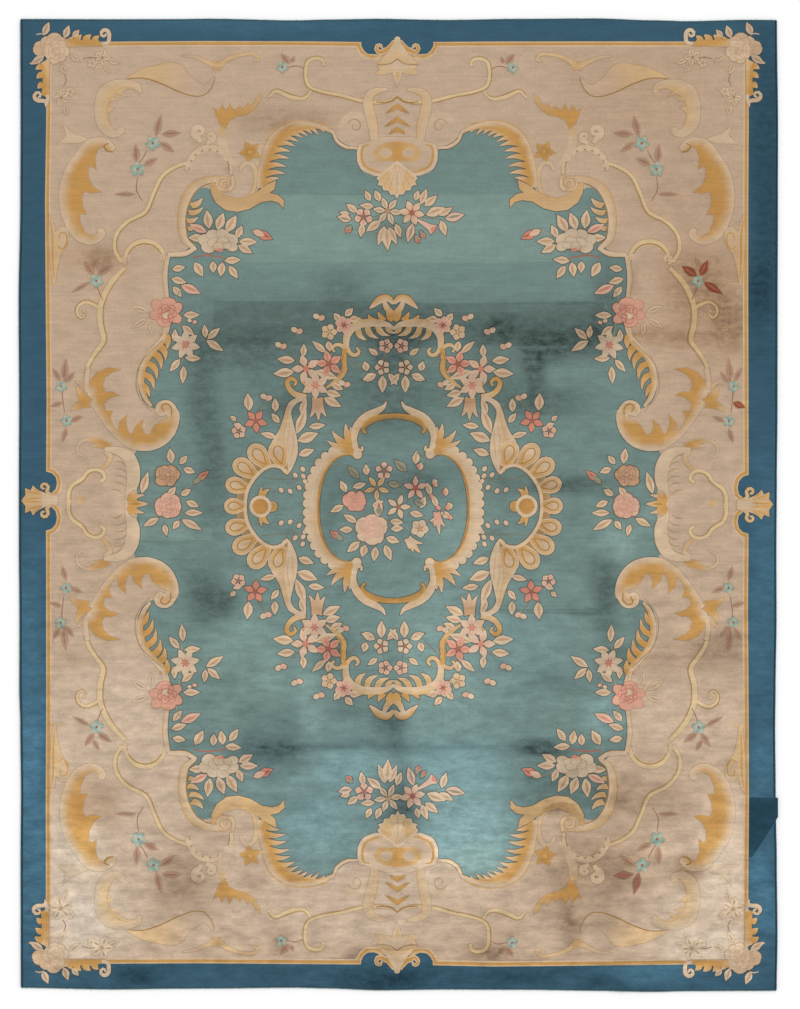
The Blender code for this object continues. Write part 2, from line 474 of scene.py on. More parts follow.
def with_slope_shade(areas, width=0.75):
    """The same areas with a line of painted shade round the whole motif, where its edge slopes down."""
    lines = [
        area(grown(one["loop"], width), "slope", carved=False, layer="slope")
        for one in areas if one["carved"]
    ]
    return lines + areas


pattern = []

# The gold guard line and the beige ground inside it. The plain border round them is the rug's own
# blue ground.
# The line bends in at the middle of each side to leave room for a finial.
LINE_MIDDLE = (397.2, 502.6)
LINE_QUARTER = (
    (397.2, 50.5), (386.7, 50.2), (376.5, 53.8), (367.6, 53.4), (363.8, 50.0), (361.2, 45.5), (361.2, 41.5),
    (300.0, 41.3), (200.0, 41.6), (110.0, 41.5), (45.9, 41.5), (45.9, 120.0), (45.5, 200.0), (45.9, 300.0),
    (46.2, 400.0), (45.9, 473.1), (51.5, 474.8), (55.4, 479.0), (56.8, 485.5), (55.6, 491.5), (51.5, 495.5),
    (46.0, 496.6), (40.0, 497.5), (36.0, 499.0), (36.0, 502.6),
)
GUARD_LINES = ((0.0, "gold"), (1.3, "ochre"), (3.9, "cream"), (5.2, "beige"))


def whole_round(quarter, middle):
    """A closed outline from its upper left quarter, which runs from the top middle to the left middle."""
    points = np.array(quarter, float)
    middle = np.array(middle)
    lower = ((points - middle) * (1, -1) + middle)[::-1][1:]
    left = np.vstack([points, lower])
    right = ((left - middle) * (-1, 1) + middle)[::-1][1:-1]
    return np.vstack([left, right])


# A darker patch of the border at the lower right: painted shade where the pile leans away.
pattern.append(area(
    [(744, 797), (778, 798), (778, 817), (766, 836), (752, 857), (744, 858)],
    "dark border", carved=False, layer="ground",
))
guard = whole_round(LINE_QUARTER, LINE_MIDDLE)
for inwards, wool in GUARD_LINES:
    pattern.append(area(grown(guard, -inwards), wool, carved=False, layer="ground"))

# Scrolls of the outer ground: flat acanthus scrolls and ribbons of cream, gold and ochre wool,
# knotted into the beige. A dark line of painted shade runs beside each ribbon, where the shears went deepest.
def ribbon(spine, widths, wool="straw", line="brown", side=1, line_width=0.9, **more):
    """A ribbon with a dark line of painted shade along one of its edges."""
    parts = band(spine, widths, wool, **more)
    track = flow(spine)
    share, left = sides_of(track)
    half = np.interp(share, np.linspace(0, 1, len(widths)), widths)[:, None] / 2
    edge = track + side * left * np.maximum(half - line_width / 2, 0.1)
    return parts + band(edge[1:-1:2], [line_width * 0.6, line_width, line_width * 0.6], line, carved=False)


def half_shell(centre, radius, wool, line, start=180, end=360, thick=6.0):
    """A half-round shell: a broad arch with a dark line along its inner edge, over plain ground."""
    parts = [area(arc(centre, radius - thick / 2, start, end, 18), "beige", carved=False)]
    parts += band(
        arc(centre, radius - thick / 2, start, end, 14), [thick * 0.6, thick, thick, thick * 0.6], wool
    )
    return (
        parts
        + band(arc(centre, radius - thick * 0.8, start, end, 14), [0.8, 1.3, 1.3, 0.8], line, carved=False)
    )


scrolls = []
scrolls += ribbon([(268, 98), (275, 91), (291, 97), (304, 98), (311, 91)], [2, 4, 5, 4, 2])
scrolls += ribbon(
    [
        (323, 66), (324, 61), (317, 58), (308, 61), (305, 72), (308, 86), (321, 92), (342, 96), (362, 101),
        (384, 102), (394, 99),
    ],
    [3, 4, 4, 4, 3.5, 3.5, 3.5, 4, 4, 3.5, 2],
    side=-1,
)
flourish = [
    (127, 78), (136, 72), (146, 67.5), (158, 65), (172, 63), (182, 66), (190, 76), (204, 85), (214, 77),
    (212, 88),
]
flourish += [(204, 95), (193, 96), (178, 91), (160, 82.5), (143, 77.5)]
scrolls += [area(flow(flourish, closed=True), "beige", fade=("gold", (158, 70), (194, 86)))]
scrolls += band(
    [(128, 78.5), (143, 78), (160, 83), (178, 91.5), (194, 96.5), (204, 95.5), (211, 88), (215, 77)],
    [0.7, 1.3, 1.3, 1.0, 0.7], "brown", carved=False,
)
scrolls += band(
    [(182, 56), (196, 58), (208, 63), (217, 67), (227, 60), (242, 55), (255, 55), (258, 60), (253, 61)],
    [1, 3, 4, 5, 4, 3, 3, 2], "gold",
    fade=("beige", (188, 57), (212, 64)),
)
scrolls += petals((217, 66), 6, 4, 4.5, "honey", "honey", 45)
small_curl = [
    (142, 92), (140, 84), (127, 79.5), (112, 80.5), (100, 88), (95, 102), (95.5, 120), (101, 131), (112, 137),
    (121, 135),
]
small_curl += [(124.5, 130), (121, 126.5), (116.5, 130)]
small_teeth = [
    (113, 129), (109.5, 122), (108, 113), (115, 107.5), (108.5, 106), (110, 101), (121, 98.5), (113, 97),
    (117, 93.5),
]
small_teeth += [(128, 97), (121, 91.5), (128, 88), (135, 89), (139.5, 93)]
scrolls += [
    area(np.vstack([flow(small_curl), small_teeth]), "gold", fade=("pale", flow(small_curl), 2.0, 10.0)),
]
scrolls += band(
    [(139, 93), (134, 88.5), (124, 87), (115, 92), (109, 101), (107, 113), (110, 124), (115, 130)],
    [0.7, 1.1, 1.1, 0.7], "honey", carved=False,
)
big_curl = [
    (116, 147), (109, 139.5), (101, 137), (88, 139.5), (75, 154), (65, 170), (60, 190), (61, 210), (67, 227),
    (77, 240),
]
big_curl += [(91, 244.5), (101, 241), (106, 234), (103, 228), (98, 229)]
big_teeth = [
    (98.5, 234), (92, 236.5), (85, 232), (81, 223), (79.5, 214), (87, 214), (83.5, 206), (82.5, 197),
    (85, 191), (92, 193),
]
big_teeth += [
    (101.5, 192), (93, 186), (89, 177), (88.5, 168), (91, 165), (96.5, 169), (95, 158), (98, 149), (103, 146),
    (107, 151), (113, 152),
]
scrolls += [area(np.vstack([flow(big_curl), big_teeth]), "ochre", fade=("cream", flow(big_curl), 2.5, 9.5))]
scrolls += band([(113, 151.5), (107, 150), (104, 145.5), (109, 143)], [1, 1.6, 1.6, 1], "brown", carved=False)
scrolls += [
    area(
        [
            (62, 121), (67, 128), (74, 133.5), (84, 136.5), (88, 139), (79, 143), (70, 143), (56, 143.5),
            (62, 139.5), (66, 135), (64, 128),
        ],
        "pale",
    ),
]
guard_flame = [
    (50, 214), (54, 222), (56, 232), (61, 226), (68, 227), (70, 238), (66.5, 247), (61, 254), (58.5, 264),
    (56.5, 275), (55.5, 284),
]
guard_flame += [(52.5, 284), (50.5, 262), (49, 238)]
scrolls += [area(guard_flame, "gold", fade=("pale", (70, 236), (52, 244)))]
scrolls += band([(51, 220), (53, 236), (53, 256), (54, 276)], [0.8, 1.8, 1.8, 0.8], "ochre", carved=False)
scrolls += band(
    [(58, 246), (63, 249), (67.5, 242), (66, 233), (61, 233), (60, 239)],
    [1, 1.6, 1.8, 1.6, 1.4, 1], "ochre", carved=False,
)
scrolls += band([(50, 284), (66, 283)], [1.5, 1.5], "gold", carved=False)
scrolls += ribbon(
    [
        (188, 163), (176, 167), (163, 176), (154, 194), (146, 212), (128, 222), (117, 235), (115.5, 250),
        (122, 262),
    ],
    [3.6, 4.2, 4.2, 4.2, 4], side=1,
)
scrolls += half_shell((145, 262), 23, "straw", "brown")
scrolls += band([(126, 263)] + winding((127.5, 259), 5, 110, 1.0), [3, 3.5, 3, 2], "pale")
scrolls += band([(165, 263)] + winding((163, 258), 5, 70, -1.0), [3, 3.5, 3, 2], "pale")
scrolls += band([(201, 143)] + winding((199, 132), 7, 95, 1.2), [4, 6, 6, 4, 2], "cream")
scrolls += band([(206, 144)] + winding((210, 137), 5, 100, -1.2), [3, 5, 4, 3, 2], "cream")
scrolls += half_shell((209, 170), 25, "pale", "brown", 178, 372)
for angle in range(195, 345, 22):
    spot = (209 + 21.5 * math.cos(math.radians(angle)), 170 + 21.5 * math.sin(math.radians(angle)))
    scrolls.append(area(disc(spot, 3.4, points=7), "cream", carved=False))
scrolls += band(
    [(240, 172), (243, 165), (250, 163), (255, 170), (256, 182), (252, 193), (246, 197)],
    [2, 4, 4.5, 4.5, 4, 3, 2], "gold",
    fade=("pale", (244, 165), (255, 190)),
)
scrolls += band([(232, 176)] + winding((226, 184), 8, -30, 1.3), [3, 4, 4, 3, 2], "pale", rim="honey")
scrolls += band(
    [(221, 128), (222, 142), (227, 156), (236, 166)],
    [7, 9, 7, 3], "pale",
    fade=("honey", (221, 128), (222, 140)),
    carved=False,
)
tuft = [
    (213, 108), (218, 112), (222, 105.5), (226, 112), (229.5, 104), (233, 111), (240, 106.5), (243, 110),
    (247.5, 103.5), (251, 107),
]
tuft += [
    (256.5, 97.5), (261, 94), (260, 101), (254, 110), (246, 115), (236, 117), (229, 121), (225, 129),
    (219, 124), (216, 116),
]
scrolls += [area(tuft, "ochre", fade=("honey", (258, 98), (236, 112)))]
scrolls += petals((250, 152), 11, 5, 8, "ochre", "ochre", 100, inner=0.0, fat=0.9, fade="brown")
scrolls += ribbon(
    [(102, 310), (94, 304), (85, 301.5), (78, 306), (77, 314), (82, 318), (86, 313), (83, 310)],
    [3.4, 3.8, 3.8, 3.4, 3, 2.6, 2, 1.5],
    side=-1,
)
scrolls += ribbon(
    [(125, 268), (110, 285), (101, 306), (101, 325), (104, 340), (96, 352), (88, 366), (86, 380), (88, 394)],
    [4, 6, 6, 6, 6, 5, 4.4, 4.4, 4.4],
    side=1,
)
scrolls += band(
    [(86, 458), (78, 454), (77, 446), (84, 440), (96, 440), (110, 444)], [1.2, 1.8, 2.4, 3, 3.6, 2], "pale"
)
scrolls += claws(
    ((108, 446, 80, 440, 6, -0.08), (110, 447, 88, 446, 6, -0.05), (94, 402, 74, 380, 7, -0.1)),
    "ochre", "pale",
)
pattern += with_slope_shade(four_times(scrolls), 0.7)

# Blue sprigs: forget-me-nots of blue wool on brown stems, with mauve leaves, strewn over the beige ground.
def forget_me_not(centre, reach=5.5, turn=20):
    """Five small petals of two blues, each shading into the other, round a brown heart."""
    parts = []
    for number in range(5):
        angle = math.radians(turn + 72 * number)
        spot = (centre[0] + 0.62 * reach * math.cos(angle), centre[1] + 0.62 * reach * math.sin(angle))
        lit = (spot[0] - 0.4 * reach, spot[1] - 0.5 * reach)
        shadow = (spot[0] + 0.4 * reach, spot[1] + 0.5 * reach)
        wools = ("slate", "aqua") if number in (0, 1, 3) else ("aqua", "slate")
        parts.append(area(
            disc(spot, 0.48 * reach, 0.38 * reach, angle, 7), wools[0], fade=(wools[1], lit, shadow)
        ))
    return parts + [area(disc(centre, 1.5, points=5), "wine", carved=False)]


def stem(spine, wool="rust", width=1.2):
    """A thin stem."""
    return band(spine, [width * 0.7, width, width * 0.7], wool, step=4.0, carved=False)


def sprig_leaf(base, tip, width=6.5, wool="mauve", core="rust"):
    """A small leaf with a darker half."""
    return leaf(base, tip, width, wool, core)


sprigs = stem([(138, 176), (137, 190), (143, 201)])
sprigs += stem([(147, 150), (143, 158), (138, 164)])
sprigs += sprig_leaf((156, 136), (161, 115))
sprigs += sprig_leaf((162, 134), (181, 133))
sprigs += sprig_leaf((160, 142), (174, 152))
sprigs += sprig_leaf((137, 162), (136, 144))
sprigs += sprig_leaf((144, 165), (158, 158))
sprigs += sprig_leaf((136, 194), (115, 194), 4)
sprigs += stem([(286, 68), (297, 66), (304, 69)])
sprigs += sprig_leaf((289, 64), (281, 54)) + sprig_leaf((291, 63), (294, 57), 4)
sprigs += stem([(97, 286), (100, 294), (103, 300)])
sprigs += sprig_leaf((94, 275), (85, 262))
sprigs += sprig_leaf((98, 275), (111, 266))
sprigs += sprig_leaf((90, 282), (72, 292), 4)
sprigs += sprig_leaf((93, 268), (99, 258), 5)
sprigs += stem([(66, 376), (62, 392), (64, 412)])
sprigs += sprig_leaf((64, 380), (66, 358))
sprigs += sprig_leaf((60, 380), (53, 368), 5)
sprigs += sprig_leaf((66, 382), (74, 372), 5)
sprigs += sprig_leaf((62, 402), (50, 406), 5)
sprigs += sprig_leaf((70, 421), (82, 416), 5)
sprigs += sprig_leaf((66, 428), (62, 442), 5)
sprigs += forget_me_not((153, 143), 7) + forget_me_not((138, 169), 7, 50) + forget_me_not((96.5, 281), 6.5)
sprigs += forget_me_not((282, 67.5), 5.5)
sprigs += forget_me_not((61, 386), 5.5)
sprigs += forget_me_not((66, 420.5), 5.5, 40)
pattern += with_slope_shade(four_times(sprigs))
deep_leaves = []
for base, tip, width, wool in (
    ((697, 276), (682, 266), 8.5, "brick"), ((700.5, 276), (708, 260), 8, "brick"),
    ((704, 282), (722.6, 294), 8, "brick"), ((732.6, 402), (745, 407), 7, "brick"),
    ((638.6, 872), (633.6, 894), 8, "plum"), ((633, 874), (612, 875.5), 8, "plum"),
):
    deep_leaves += sprig_leaf(base, tip, width, wool, "wine")
pattern += with_slope_shade(deep_leaves)

# The teal field inside the scrolls, one plain ground of wool with soft bands where the dye lots changed.
FIELD_QUARTER = (
    (397.3, 185.0), (375.0, 172.0), (357.0, 150.0), (345.0, 143.0), (332.0, 134.0), (319.0, 126.0),
    (300.0, 124.0), (285.0, 131.0), (275.0, 143.0), (268.0, 160.0), (262.0, 180.0), (257.0, 192.0),
    (240.0, 205.0), (222.0, 203.0), (212.0, 190.0), (200.0, 188.0), (190.0, 198.0), (184.0, 215.0),
    (183.0, 235.0), (190.0, 247.0), (180.0, 254.0), (168.0, 256.0), (165.0, 275.0), (167.0, 300.0),
    (168.0, 320.0), (163.0, 338.0), (150.0, 352.0), (140.0, 368.0), (138.0, 385.0), (142.0, 400.0),
    (152.0, 408.0), (178.0, 410.0), (176.0, 430.0), (160.0, 446.0), (135.0, 451.0), (136.0, 470.0),
    (137.0, 485.0), (137.0, 504.0),
)
pattern.append(area(
    whole_round(flow(FIELD_QUARTER, 5.0), PATTERN_MIDDLE), "field", carved=False, layer="ground"
))
DYE_LOTS = (
    ("light field", ((256, 195), (538, 195), (554, 208), (561, 262), (500, 263), (240, 262), (241, 208))),
    ("dark field", ((214, 302), (330, 301), (470, 303), (604, 302), (603, 346), (420, 347), (213, 345))),
    ("light field", ((180, 513), (140, 513), (140, 540), (212, 541), (212, 528), (180, 528))),
    ("dark field", ((500, 609), (602, 609), (602, 614), (500, 614))),
)
for wool, loop in DYE_LOTS:
    pattern.append(area(loop, wool, carved=False, layer="ground"))

# Frame of the field: scrolls, shells and toothed acanthus leaves of cream and ochre wool that edge the teal.
# The flame-shaped teeth reach out over the field and are clipped all round.
pattern += four_times([area(disc((350, 130), 19.5, 17.5, 0.5, points=18), "beige", carved=False)])
pattern += four_times([
    area(
        disc((354, 127), 15, 16, 0.5, points=16), "pale", carved=False, fade=("beige", (352, 138), (354, 116))
    ),
])
pattern += four_times(band(winding((355, 126), 8, 200, 1.1), [1.0, 1.6, 1.6, 1.0], "shade", carved=False))
frame_bands = []
frame_bands += ribbon(
    [(332, 130), (337, 141), (346, 147), (358, 148)], [2, 3.4, 3.4, 2], "cream", side=-1, line="honey"
)
frame_claws = (
    (262, 184, 280, 178, 6, 0.1), (261, 176, 286, 174, 6.5, 0.12), (262, 169, 287, 167, 6.5, 0.14),
    (264, 161, 290, 159, 6.5, 0.14), (267, 154, 291, 152, 6.5, 0.15), (271, 146, 296, 147, 6.5, 0.16),
    (276, 140, 299, 142.5, 6, 0.16), (281, 135, 303, 138.5, 6, 0.16), (287, 131, 308, 137, 6, 0.16),
    (294, 128, 313, 135, 5.5, 0.16), (301, 126, 319, 136, 5.5, 0.16), (309, 125, 325, 133, 5, 0.14),
    (317, 125, 330, 131, 4.5, 0.12),
)
frame_bands += claws(frame_claws)
frame_bands += shaded(
    [
        (332, 132), (323, 128), (310, 125), (296, 125.5), (284, 130), (274.5, 138), (268, 151), (263.5, 168),
        (260, 188),
    ],
    [3, 5, 7.5, 8.5, 9, 9, 9, 8.5, 6],
    "ochre", "cream", side=-1, near=1.8, far=5.0,
)
frame_bands += band(
    [
        (331, 128.5), (322, 123.5), (309.5, 120.5), (294, 120.8), (279, 126), (269, 135.5), (262.5, 150),
        (258.5, 168), (256.5, 186),
    ],
    [0.8, 1.3, 1.3, 1.3, 0.8], "honey", carved=False,
)
left_claws = (
    (191, 206, 203, 198, 7, -0.15), (189, 213, 204, 207, 6, -0.15), (187, 221, 199, 217, 5.5, -0.15),
    (188, 229, 196, 227, 5, -0.1),
)
frame_bands += claws(left_claws, "honey")
frame_bands += shaded(
    [(219, 179), (205, 181), (193, 188), (185, 203), (182, 222), (185, 240), (195, 249)],
    [6, 7, 9, 9, 8, 7, 4], "honey", "cream", side=1, near=3.0, far=7.0,
)
frame_bands += band(
    [(217, 183), (206, 185), (196, 192), (189, 205), (186, 222), (189, 238), (196, 246)],
    [0.8, 1.3, 1.3, 0.8], "brown", carved=False,
)
frame_bands += ribbon([(196, 248), (186, 254), (168, 255)], [4, 5, 4], "cream", side=1, line="honey")
frame_bands += ribbon(
    [(168, 256), (165, 275), (167, 300), (168, 325), (164, 336), (156, 346)],
    [4, 5, 4, 4, 5, 5], "pale", side=-1, line="honey",
)
waist_claws = (
    (164, 334, 167, 349, 8, 0.15), (157, 345, 165, 361, 8, 0.22), (150, 352, 160.5, 370, 8, 0.24),
    (145, 362, 156, 380, 7.5, 0.24), (142, 373, 153, 390, 7, 0.22), (142, 384, 149, 397, 6, 0.12),
)
frame_bands += claws(waist_claws, "ochre", "gold")
frame_bands += shaded(
    [(165, 328), (164.5, 338), (156, 347.5), (147, 358), (142, 370), (141, 385), (145, 398), (151, 406)],
    [3, 6, 6.5, 6.5, 6.5, 6, 5, 3], "ochre", "cream", side=-1, near=1.6, far=5.0,
)
frame_bands += band(
    [(163, 340), (152, 350), (141, 362), (136, 376), (136.5, 391), (143, 403), (151, 411)],
    [0.8, 1.3, 1.3, 0.8], "umber", carved=False,
)
tail = [
    (211, 180), (211, 193), (216, 203), (226, 210.5), (238, 212), (250, 209), (262, 202), (272, 200.5),
    (279, 202.5), (284, 208),
]
tail += [
    (284.5, 200), (278, 194.5), (270, 193), (275, 189), (276.5, 180), (267, 184.5), (257, 192), (247, 197),
    (236, 199), (224, 195), (218, 187),
]
frame_bands += [area(tail, "honey", fade=("gold", (240, 212), (242, 199)))]
frame_bands += band(
    [(217, 188), (223, 197), (234, 202), (248, 200), (260, 194), (270, 190)],
    [0.7, 1.4, 1.4, 0.8], "honey", carved=False,
)
frame_bands += band([(262, 199), (272, 197), (280, 200)], [0.7, 1.2, 0.7], "honey", carved=False)
frame_bands += band(
    [(228, 190), (222, 190), (217, 185), (220, 178), (228, 178)], [2, 3, 3, 2.5, 2], "pale", rim="honey"
)

# Side acanthus: the big curling leaf at each side of the waist, with the comb-shaped shell beside it.
leaf_back = [
    (87, 392), (91, 404), (98, 416), (108, 430), (120, 442), (133, 449.5), (150, 450.5), (165, 444.5),
    (175, 433), (179, 418),
]
leaf_back += [(176, 407.5), (170, 401), (162.5, 400), (156, 404), (155, 412), (160, 416), (166, 414)]
leaf_teeth = [
    (167, 418), (160, 420.5), (153, 427), (149, 435), (144, 433), (141, 427), (142.5, 419), (135, 426),
    (131, 435), (127, 431),
]
leaf_teeth += [
    (125, 422), (126.5, 414), (119, 422), (117.5, 431), (112, 426), (109, 418), (111.5, 411), (105, 411),
    (103, 403), (110, 397),
]
leaf_teeth += [
    (119.5, 395), (112, 391.5), (105, 392), (102, 386), (104, 378), (111, 372), (121, 369), (108, 367.5),
    (97, 372), (90, 380),
]
side_leaf = [
    area(np.vstack([flow(leaf_back), leaf_teeth]), "ochre", fade=("cream", flow(leaf_back), 2.5, 8.0)),
]
side_leaf += band(
    [(164, 412), (161, 406), (166, 403.5), (171, 408), (171, 415)], [1, 1.6, 1.6, 1], "brown", carved=False
)
side_leaf += band([(87, 392), (86, 382), (88, 368)], [4, 4.5, 4.5], "pale")
side_leaf += shaded(
    [(104, 449), (118, 451), (128, 457), (132.5, 468), (133, 482), (129.5, 493), (128, 504)],
    [3, 8, 12, 14, 13, 9, 5], "pale", "cream", side=1, near=2.0, far=8.0,
)
for number, shift in enumerate((-4, 0, 1, 1, 0, -3)):
    down = 457 + number * 7
    side_leaf += band(
        [(114 + shift, down - 2), (120 + shift, down - 2), (126 + shift, down + 2)],
        [0.6, 1.3, 0.6], "umber", carved=False,
    )
side_leaf += band(
    [(104, 452), (110, 456), (107, 464), (101, 470)],
    [3, 5, 4, 2], "honey",
    fade=("pale", (104, 452), (106, 468)),
)
side_leaf += ribbon(
    [
        (100, 482), (104, 479), (102, 473), (95, 470.5), (87, 473.5), (83.5, 479), (79, 483), (72.5, 487),
        (69, 494), (68.5, 504),
    ],
    [3, 4, 4, 4, 4, 4.2, 4.4, 4.4, 4.4, 4.4],
    side=1,
)
pattern += with_slope_shade(four_times(frame_bands))
pattern += with_slope_shade(four_times(side_leaf))

side_star = claws(
    (
        (129, 504, 149, 504, 8, 0), (128, 502, 145, 495, 6, 0.1), (128, 506, 145, 513, 6, -0.1),
        (129, 500, 137, 490, 5, 0.1), (129, 508, 137, 518, 5, -0.1),
    ),
    "ochre", "cream",
)
side_star += band([(131, 504), (141, 504)], [0.8, 2.4, 0.8], "brown", carved=False)
side_star += [
    area(disc((81, 502), 4.2, points=10), "honey", carved=False, fade=("gold", (79, 502), (84.5, 502))),
]
pattern += with_slope_shade(both_sides(side_star))

pattern += with_slope_shade(four_times(claws(
    ((88.5, 402, 77, 385, 9, 0.15), (88, 403, 70, 411, 9, -0.12)), "ochre", "gold"
)))

# Crest at each end: a shield with a pair of eyes, a stack of chevrons and a scalloped fan,
# between two pilasters, in cream and ochre wool.
crest = shaded(
    [(388, 89), (378, 90), (369.5, 95), (368, 105), (371, 117), (373.5, 130), (374, 140)],
    [2, 6, 9, 10, 10, 9, 7], "gold", "pale", side=-1, near=1.5, far=6.0,
)
crest += band(
    [(376, 101.5), (385, 102.3), (393, 99.8), (397.6, 96.2)], [1.0, 1.5, 1.5, 1.8], "brown", carved=False
)
shield = [
    (397.3, 137), (385, 136.5), (375, 139), (368, 142), (359, 144), (356.8, 152), (357.2, 161), (361, 169),
    (370, 174), (381, 176), (397.3, 177),
]
crest += [area(shield, "beige", fade=("pale", (376, 138), (384, 150)))]
crest += band(
    [(360.5, 144.8), (358.4, 157), (362.5, 168), (373, 173.6), (383, 175)],
    [2.6, 3, 3, 3, 2], "cream", carved=False,
)
crest += band(
    [(370, 144.6), (363.6, 146.4), (361.9, 157), (365.6, 165.8), (375, 170.6), (383, 171.8)],
    [1.2, 2.6, 2.8, 2.8, 2.6, 1.2], "ochre", rim="honey", rim_width=0.5,
)
mask = flow(
    [
        (397.3, 141.5), (386, 142.5), (377, 146.5), (373.6, 152), (375.5, 158), (381, 161.5), (390, 160.5),
        (397.3, 162),
    ],
    3.0,
)
crest += [area(mask, "honey", fade=("ochre", (397.3, 152), (381, 152)))]
crest += [area(disc((386, 152.6), 6.2, 5.2, 0.25, points=12), "beige", rim="gold", rim_width=0.9)]
fan = [
    (397.3, 160), (388, 168), (381, 173.5), (376.6, 178), (379.5, 181), (377.6, 184.5), (382.6, 185.6),
    (383.6, 190), (388.8, 190.2), (391, 194.6), (395, 194), (397.3, 198.5),
]
crest += [area(fan, "gold", rim="cream", rim_width=1.3, fade=("honey", (397.3, 163), (395, 184)))]
for tip in ((380.5, 180), (384, 186), (390, 190.5), (396.5, 194)):
    crest += band([(396.5, 164), tip], [0.5, 1.0], "honey", carved=False)
for peak, reach, drop in ((103.5, 12, 9.5), (116.5, 12.5, 9.5), (127, 8.5, 7.5)):
    chevron = [
        (397.3, peak), (391, peak + drop * 0.45), (397.3 - reach, peak + drop), (389, peak + drop * 0.92),
        (393.5, peak + drop * 0.72), (397.3, peak + 4.5),
    ]
    crest.append(area(chevron, "ochre", fade=("brown", (397.3 - reach, peak + drop + 1), (393, peak + 3))))
wings = []
layer = [
    (397.3, 59), (391, 63.5), (384, 65), (377.5, 65), (380, 69), (375, 73.5), (384, 74), (392, 72),
    (397.3, 75),
]
wings += [area(layer, "pale", fade=("gold", (384, 74), (390, 66)))]
wings += [
    area(
        [(397.3, 71), (392.5, 73), (394.5, 80), (397.3, 87)], "cream", fade=("honey", (397.3, 76), (394, 77))
    ),
]
wings += band([(363, 54), (372, 58), (384, 53)], [1, 2, 1], "gold", carved=False)
wings += band(
    [(394, 40), (391, 45), (386, 50)] + winding((380, 47), 5.5, 30, 1.0),
    [3, 5, 6, 5, 4, 2], "ochre", rim="cream", rim_width=0.9,
)
dome = [
    (397.3, 35.5), (394.6, 37), (393.6, 42), (391, 46), (388.6, 50), (386.5, 54), (383, 56), (381.5, 59.5),
    (376, 63), (384, 64), (391, 62.5), (397.3, 58),
]
wings += [area(dome, "cream", fade=("gold", (397.3, 56), (393, 46)))]
wings += band([(377, 64), (390, 63.2), (397.3, 58.5)], [0.9, 1.3, 1.6], "umber", carved=False)
pattern += with_slope_shade(four_times(crest))
pattern += with_slope_shade(four_times(wings))

palmette = [
    (58, 502.6), (57, 497.5), (46, 496), (40, 493.5), (36, 491), (33, 487.5), (30.5, 492.5), (25, 490),
    (25.5, 497), (21.3, 502.6),
]
finial = [area(palmette, "honey", fade=("cream", (50, 502.6), (27, 502.6)))]
for tip in ((25, 501.5), (27.5, 493.5), (33.5, 491)):
    finial += band([(42, 501 - (502.6 - tip[1]) * 0.4), tip], [0.6, 2.0, 1.0], "ochre", carved=False)
finial += band(
    [(54, 498), (49.5, 496.5), (46.5, 493.5)] + winding((43.8, 489.6), 4.8, 40, -1.0),
    [2, 3.4, 3.6, 3, 2], "gold", rim="honey", rim_width=0.6,
)
pattern += with_slope_shade(four_times(finial, LINE_MIDDLE))

# Corner bouquets: a rose, leaves and flame-edged curls of cream and ochre that break out over the guard line.
corner = [
    area(
        [(58, 46), (60, 39), (68, 38.5), (76, 40), (88, 39.5), (98, 39.5), (102, 46)],
        "ochre",
        fade=("gold", (62, 42), (74, 42)),
    ),
]
corner += claws(
    (
        (76, 42, 81.5, 34.5, 8, 0.15), (85, 42, 91, 34.5, 8, 0.15), (94, 42, 99, 35.5, 7, 0.15),
        (69, 41, 73, 36.5, 5, 0.1),
    ),
    "ochre", "gold",
)
corner += band([(102, 44), (108, 42), (109, 36)] + winding((104, 34), 5, 0, -1.1), [3, 4, 4, 3.4, 2], "cream")
corner += [
    area(
        [(49, 58), (41, 62), (41.5, 70), (42.5, 80), (42, 88), (41, 94), (49, 98)],
        "ochre",
        fade=("gold", (44, 60), (44, 72)),
    ),
]
corner += claws(
    ((43, 66, 35, 69, 7, -0.15), (43, 74, 36, 78, 7, -0.15), (43, 84, 37, 88, 7, -0.15)), "ochre", "gold"
)
corner += band([(47, 94), (47, 100), (41, 100)] + winding((38, 95), 5, 90, 1.1), [3, 4, 4, 3, 2], "cream")
corner += leaf((47, 98), (45, 107), 4, "cream", None) + leaf((72, 37), (79, 29.5), 6, "pale", "shade")
for base, tip, width in (
    ((43, 35), (48.5, 21.5), 7.5), ((64, 38), (68.5, 25), 7.5), ((44, 55), (30, 64), 7.5),
    ((46, 53), (37, 55), 5),
):
    corner += leaf(base, tip, width, "pale", "shade")
corner += stem([(35.5, 34), (40, 33), (44, 34)], "pale") + stem([(29, 63), (33, 61), (36, 57)], "pale")
for spot, reach, turn in (
    ((41, 46.5), 8, 0.2), ((37.5, 50), 6, 0.9), ((45.5, 41), 6.5, -0.6), ((54, 38), 7.5, 0),
    ((60, 41), 6.5, 0.5), ((50, 42), 6, 0),
):
    fade = ("peach", (54, 50), (2 * spot[0] - 54, 2 * spot[1] - 50))
    corner.append(area(
        disc(spot, reach, reach * 0.8, turn, 10), "cream", rim="shade", rim_width=0.5, fade=fade
    ))
corner += rose((56, 51), 13, ("cream", "pale", "peach"))
corner += stem([(82, 59), (90, 57), (98, 59)])
corner += leaf((90, 59), (92, 66), 4, "pale", "umber")
corner += stem([(64, 74), (66, 80), (63, 86)])
corner += leaf((108, 60), (119, 63), 5.5, "pale", "shade")
corner += leaf((104, 65), (110, 72), 5, "pale", "shade")
corner += leaf((64, 105), (67, 115), 5.5, "pale", "shade")
corner += leaf((70, 54), (80, 62), 6, "pale", "shade") + leaf((60, 64), (66, 74), 6, "pale", "shade")
pattern += with_slope_shade(four_times(corner, LINE_MIDDLE))


def corner_blossoms(reach):
    """The two outlined blossoms beside a corner's rose, each with a small one beside it."""
    parts = petals((92, 63), 5, 5, 4, "pale", "shade") + petals((70, 91), 5, 5, 4, "pale", "shade")
    for spot, turn in (((102, 57.5), 0), ((61, 97), 30)):
        parts += petals(spot, reach, 5, reach * 0.76, "cream", "umber", turn, shade="shade", fat=1.0)
    return parts


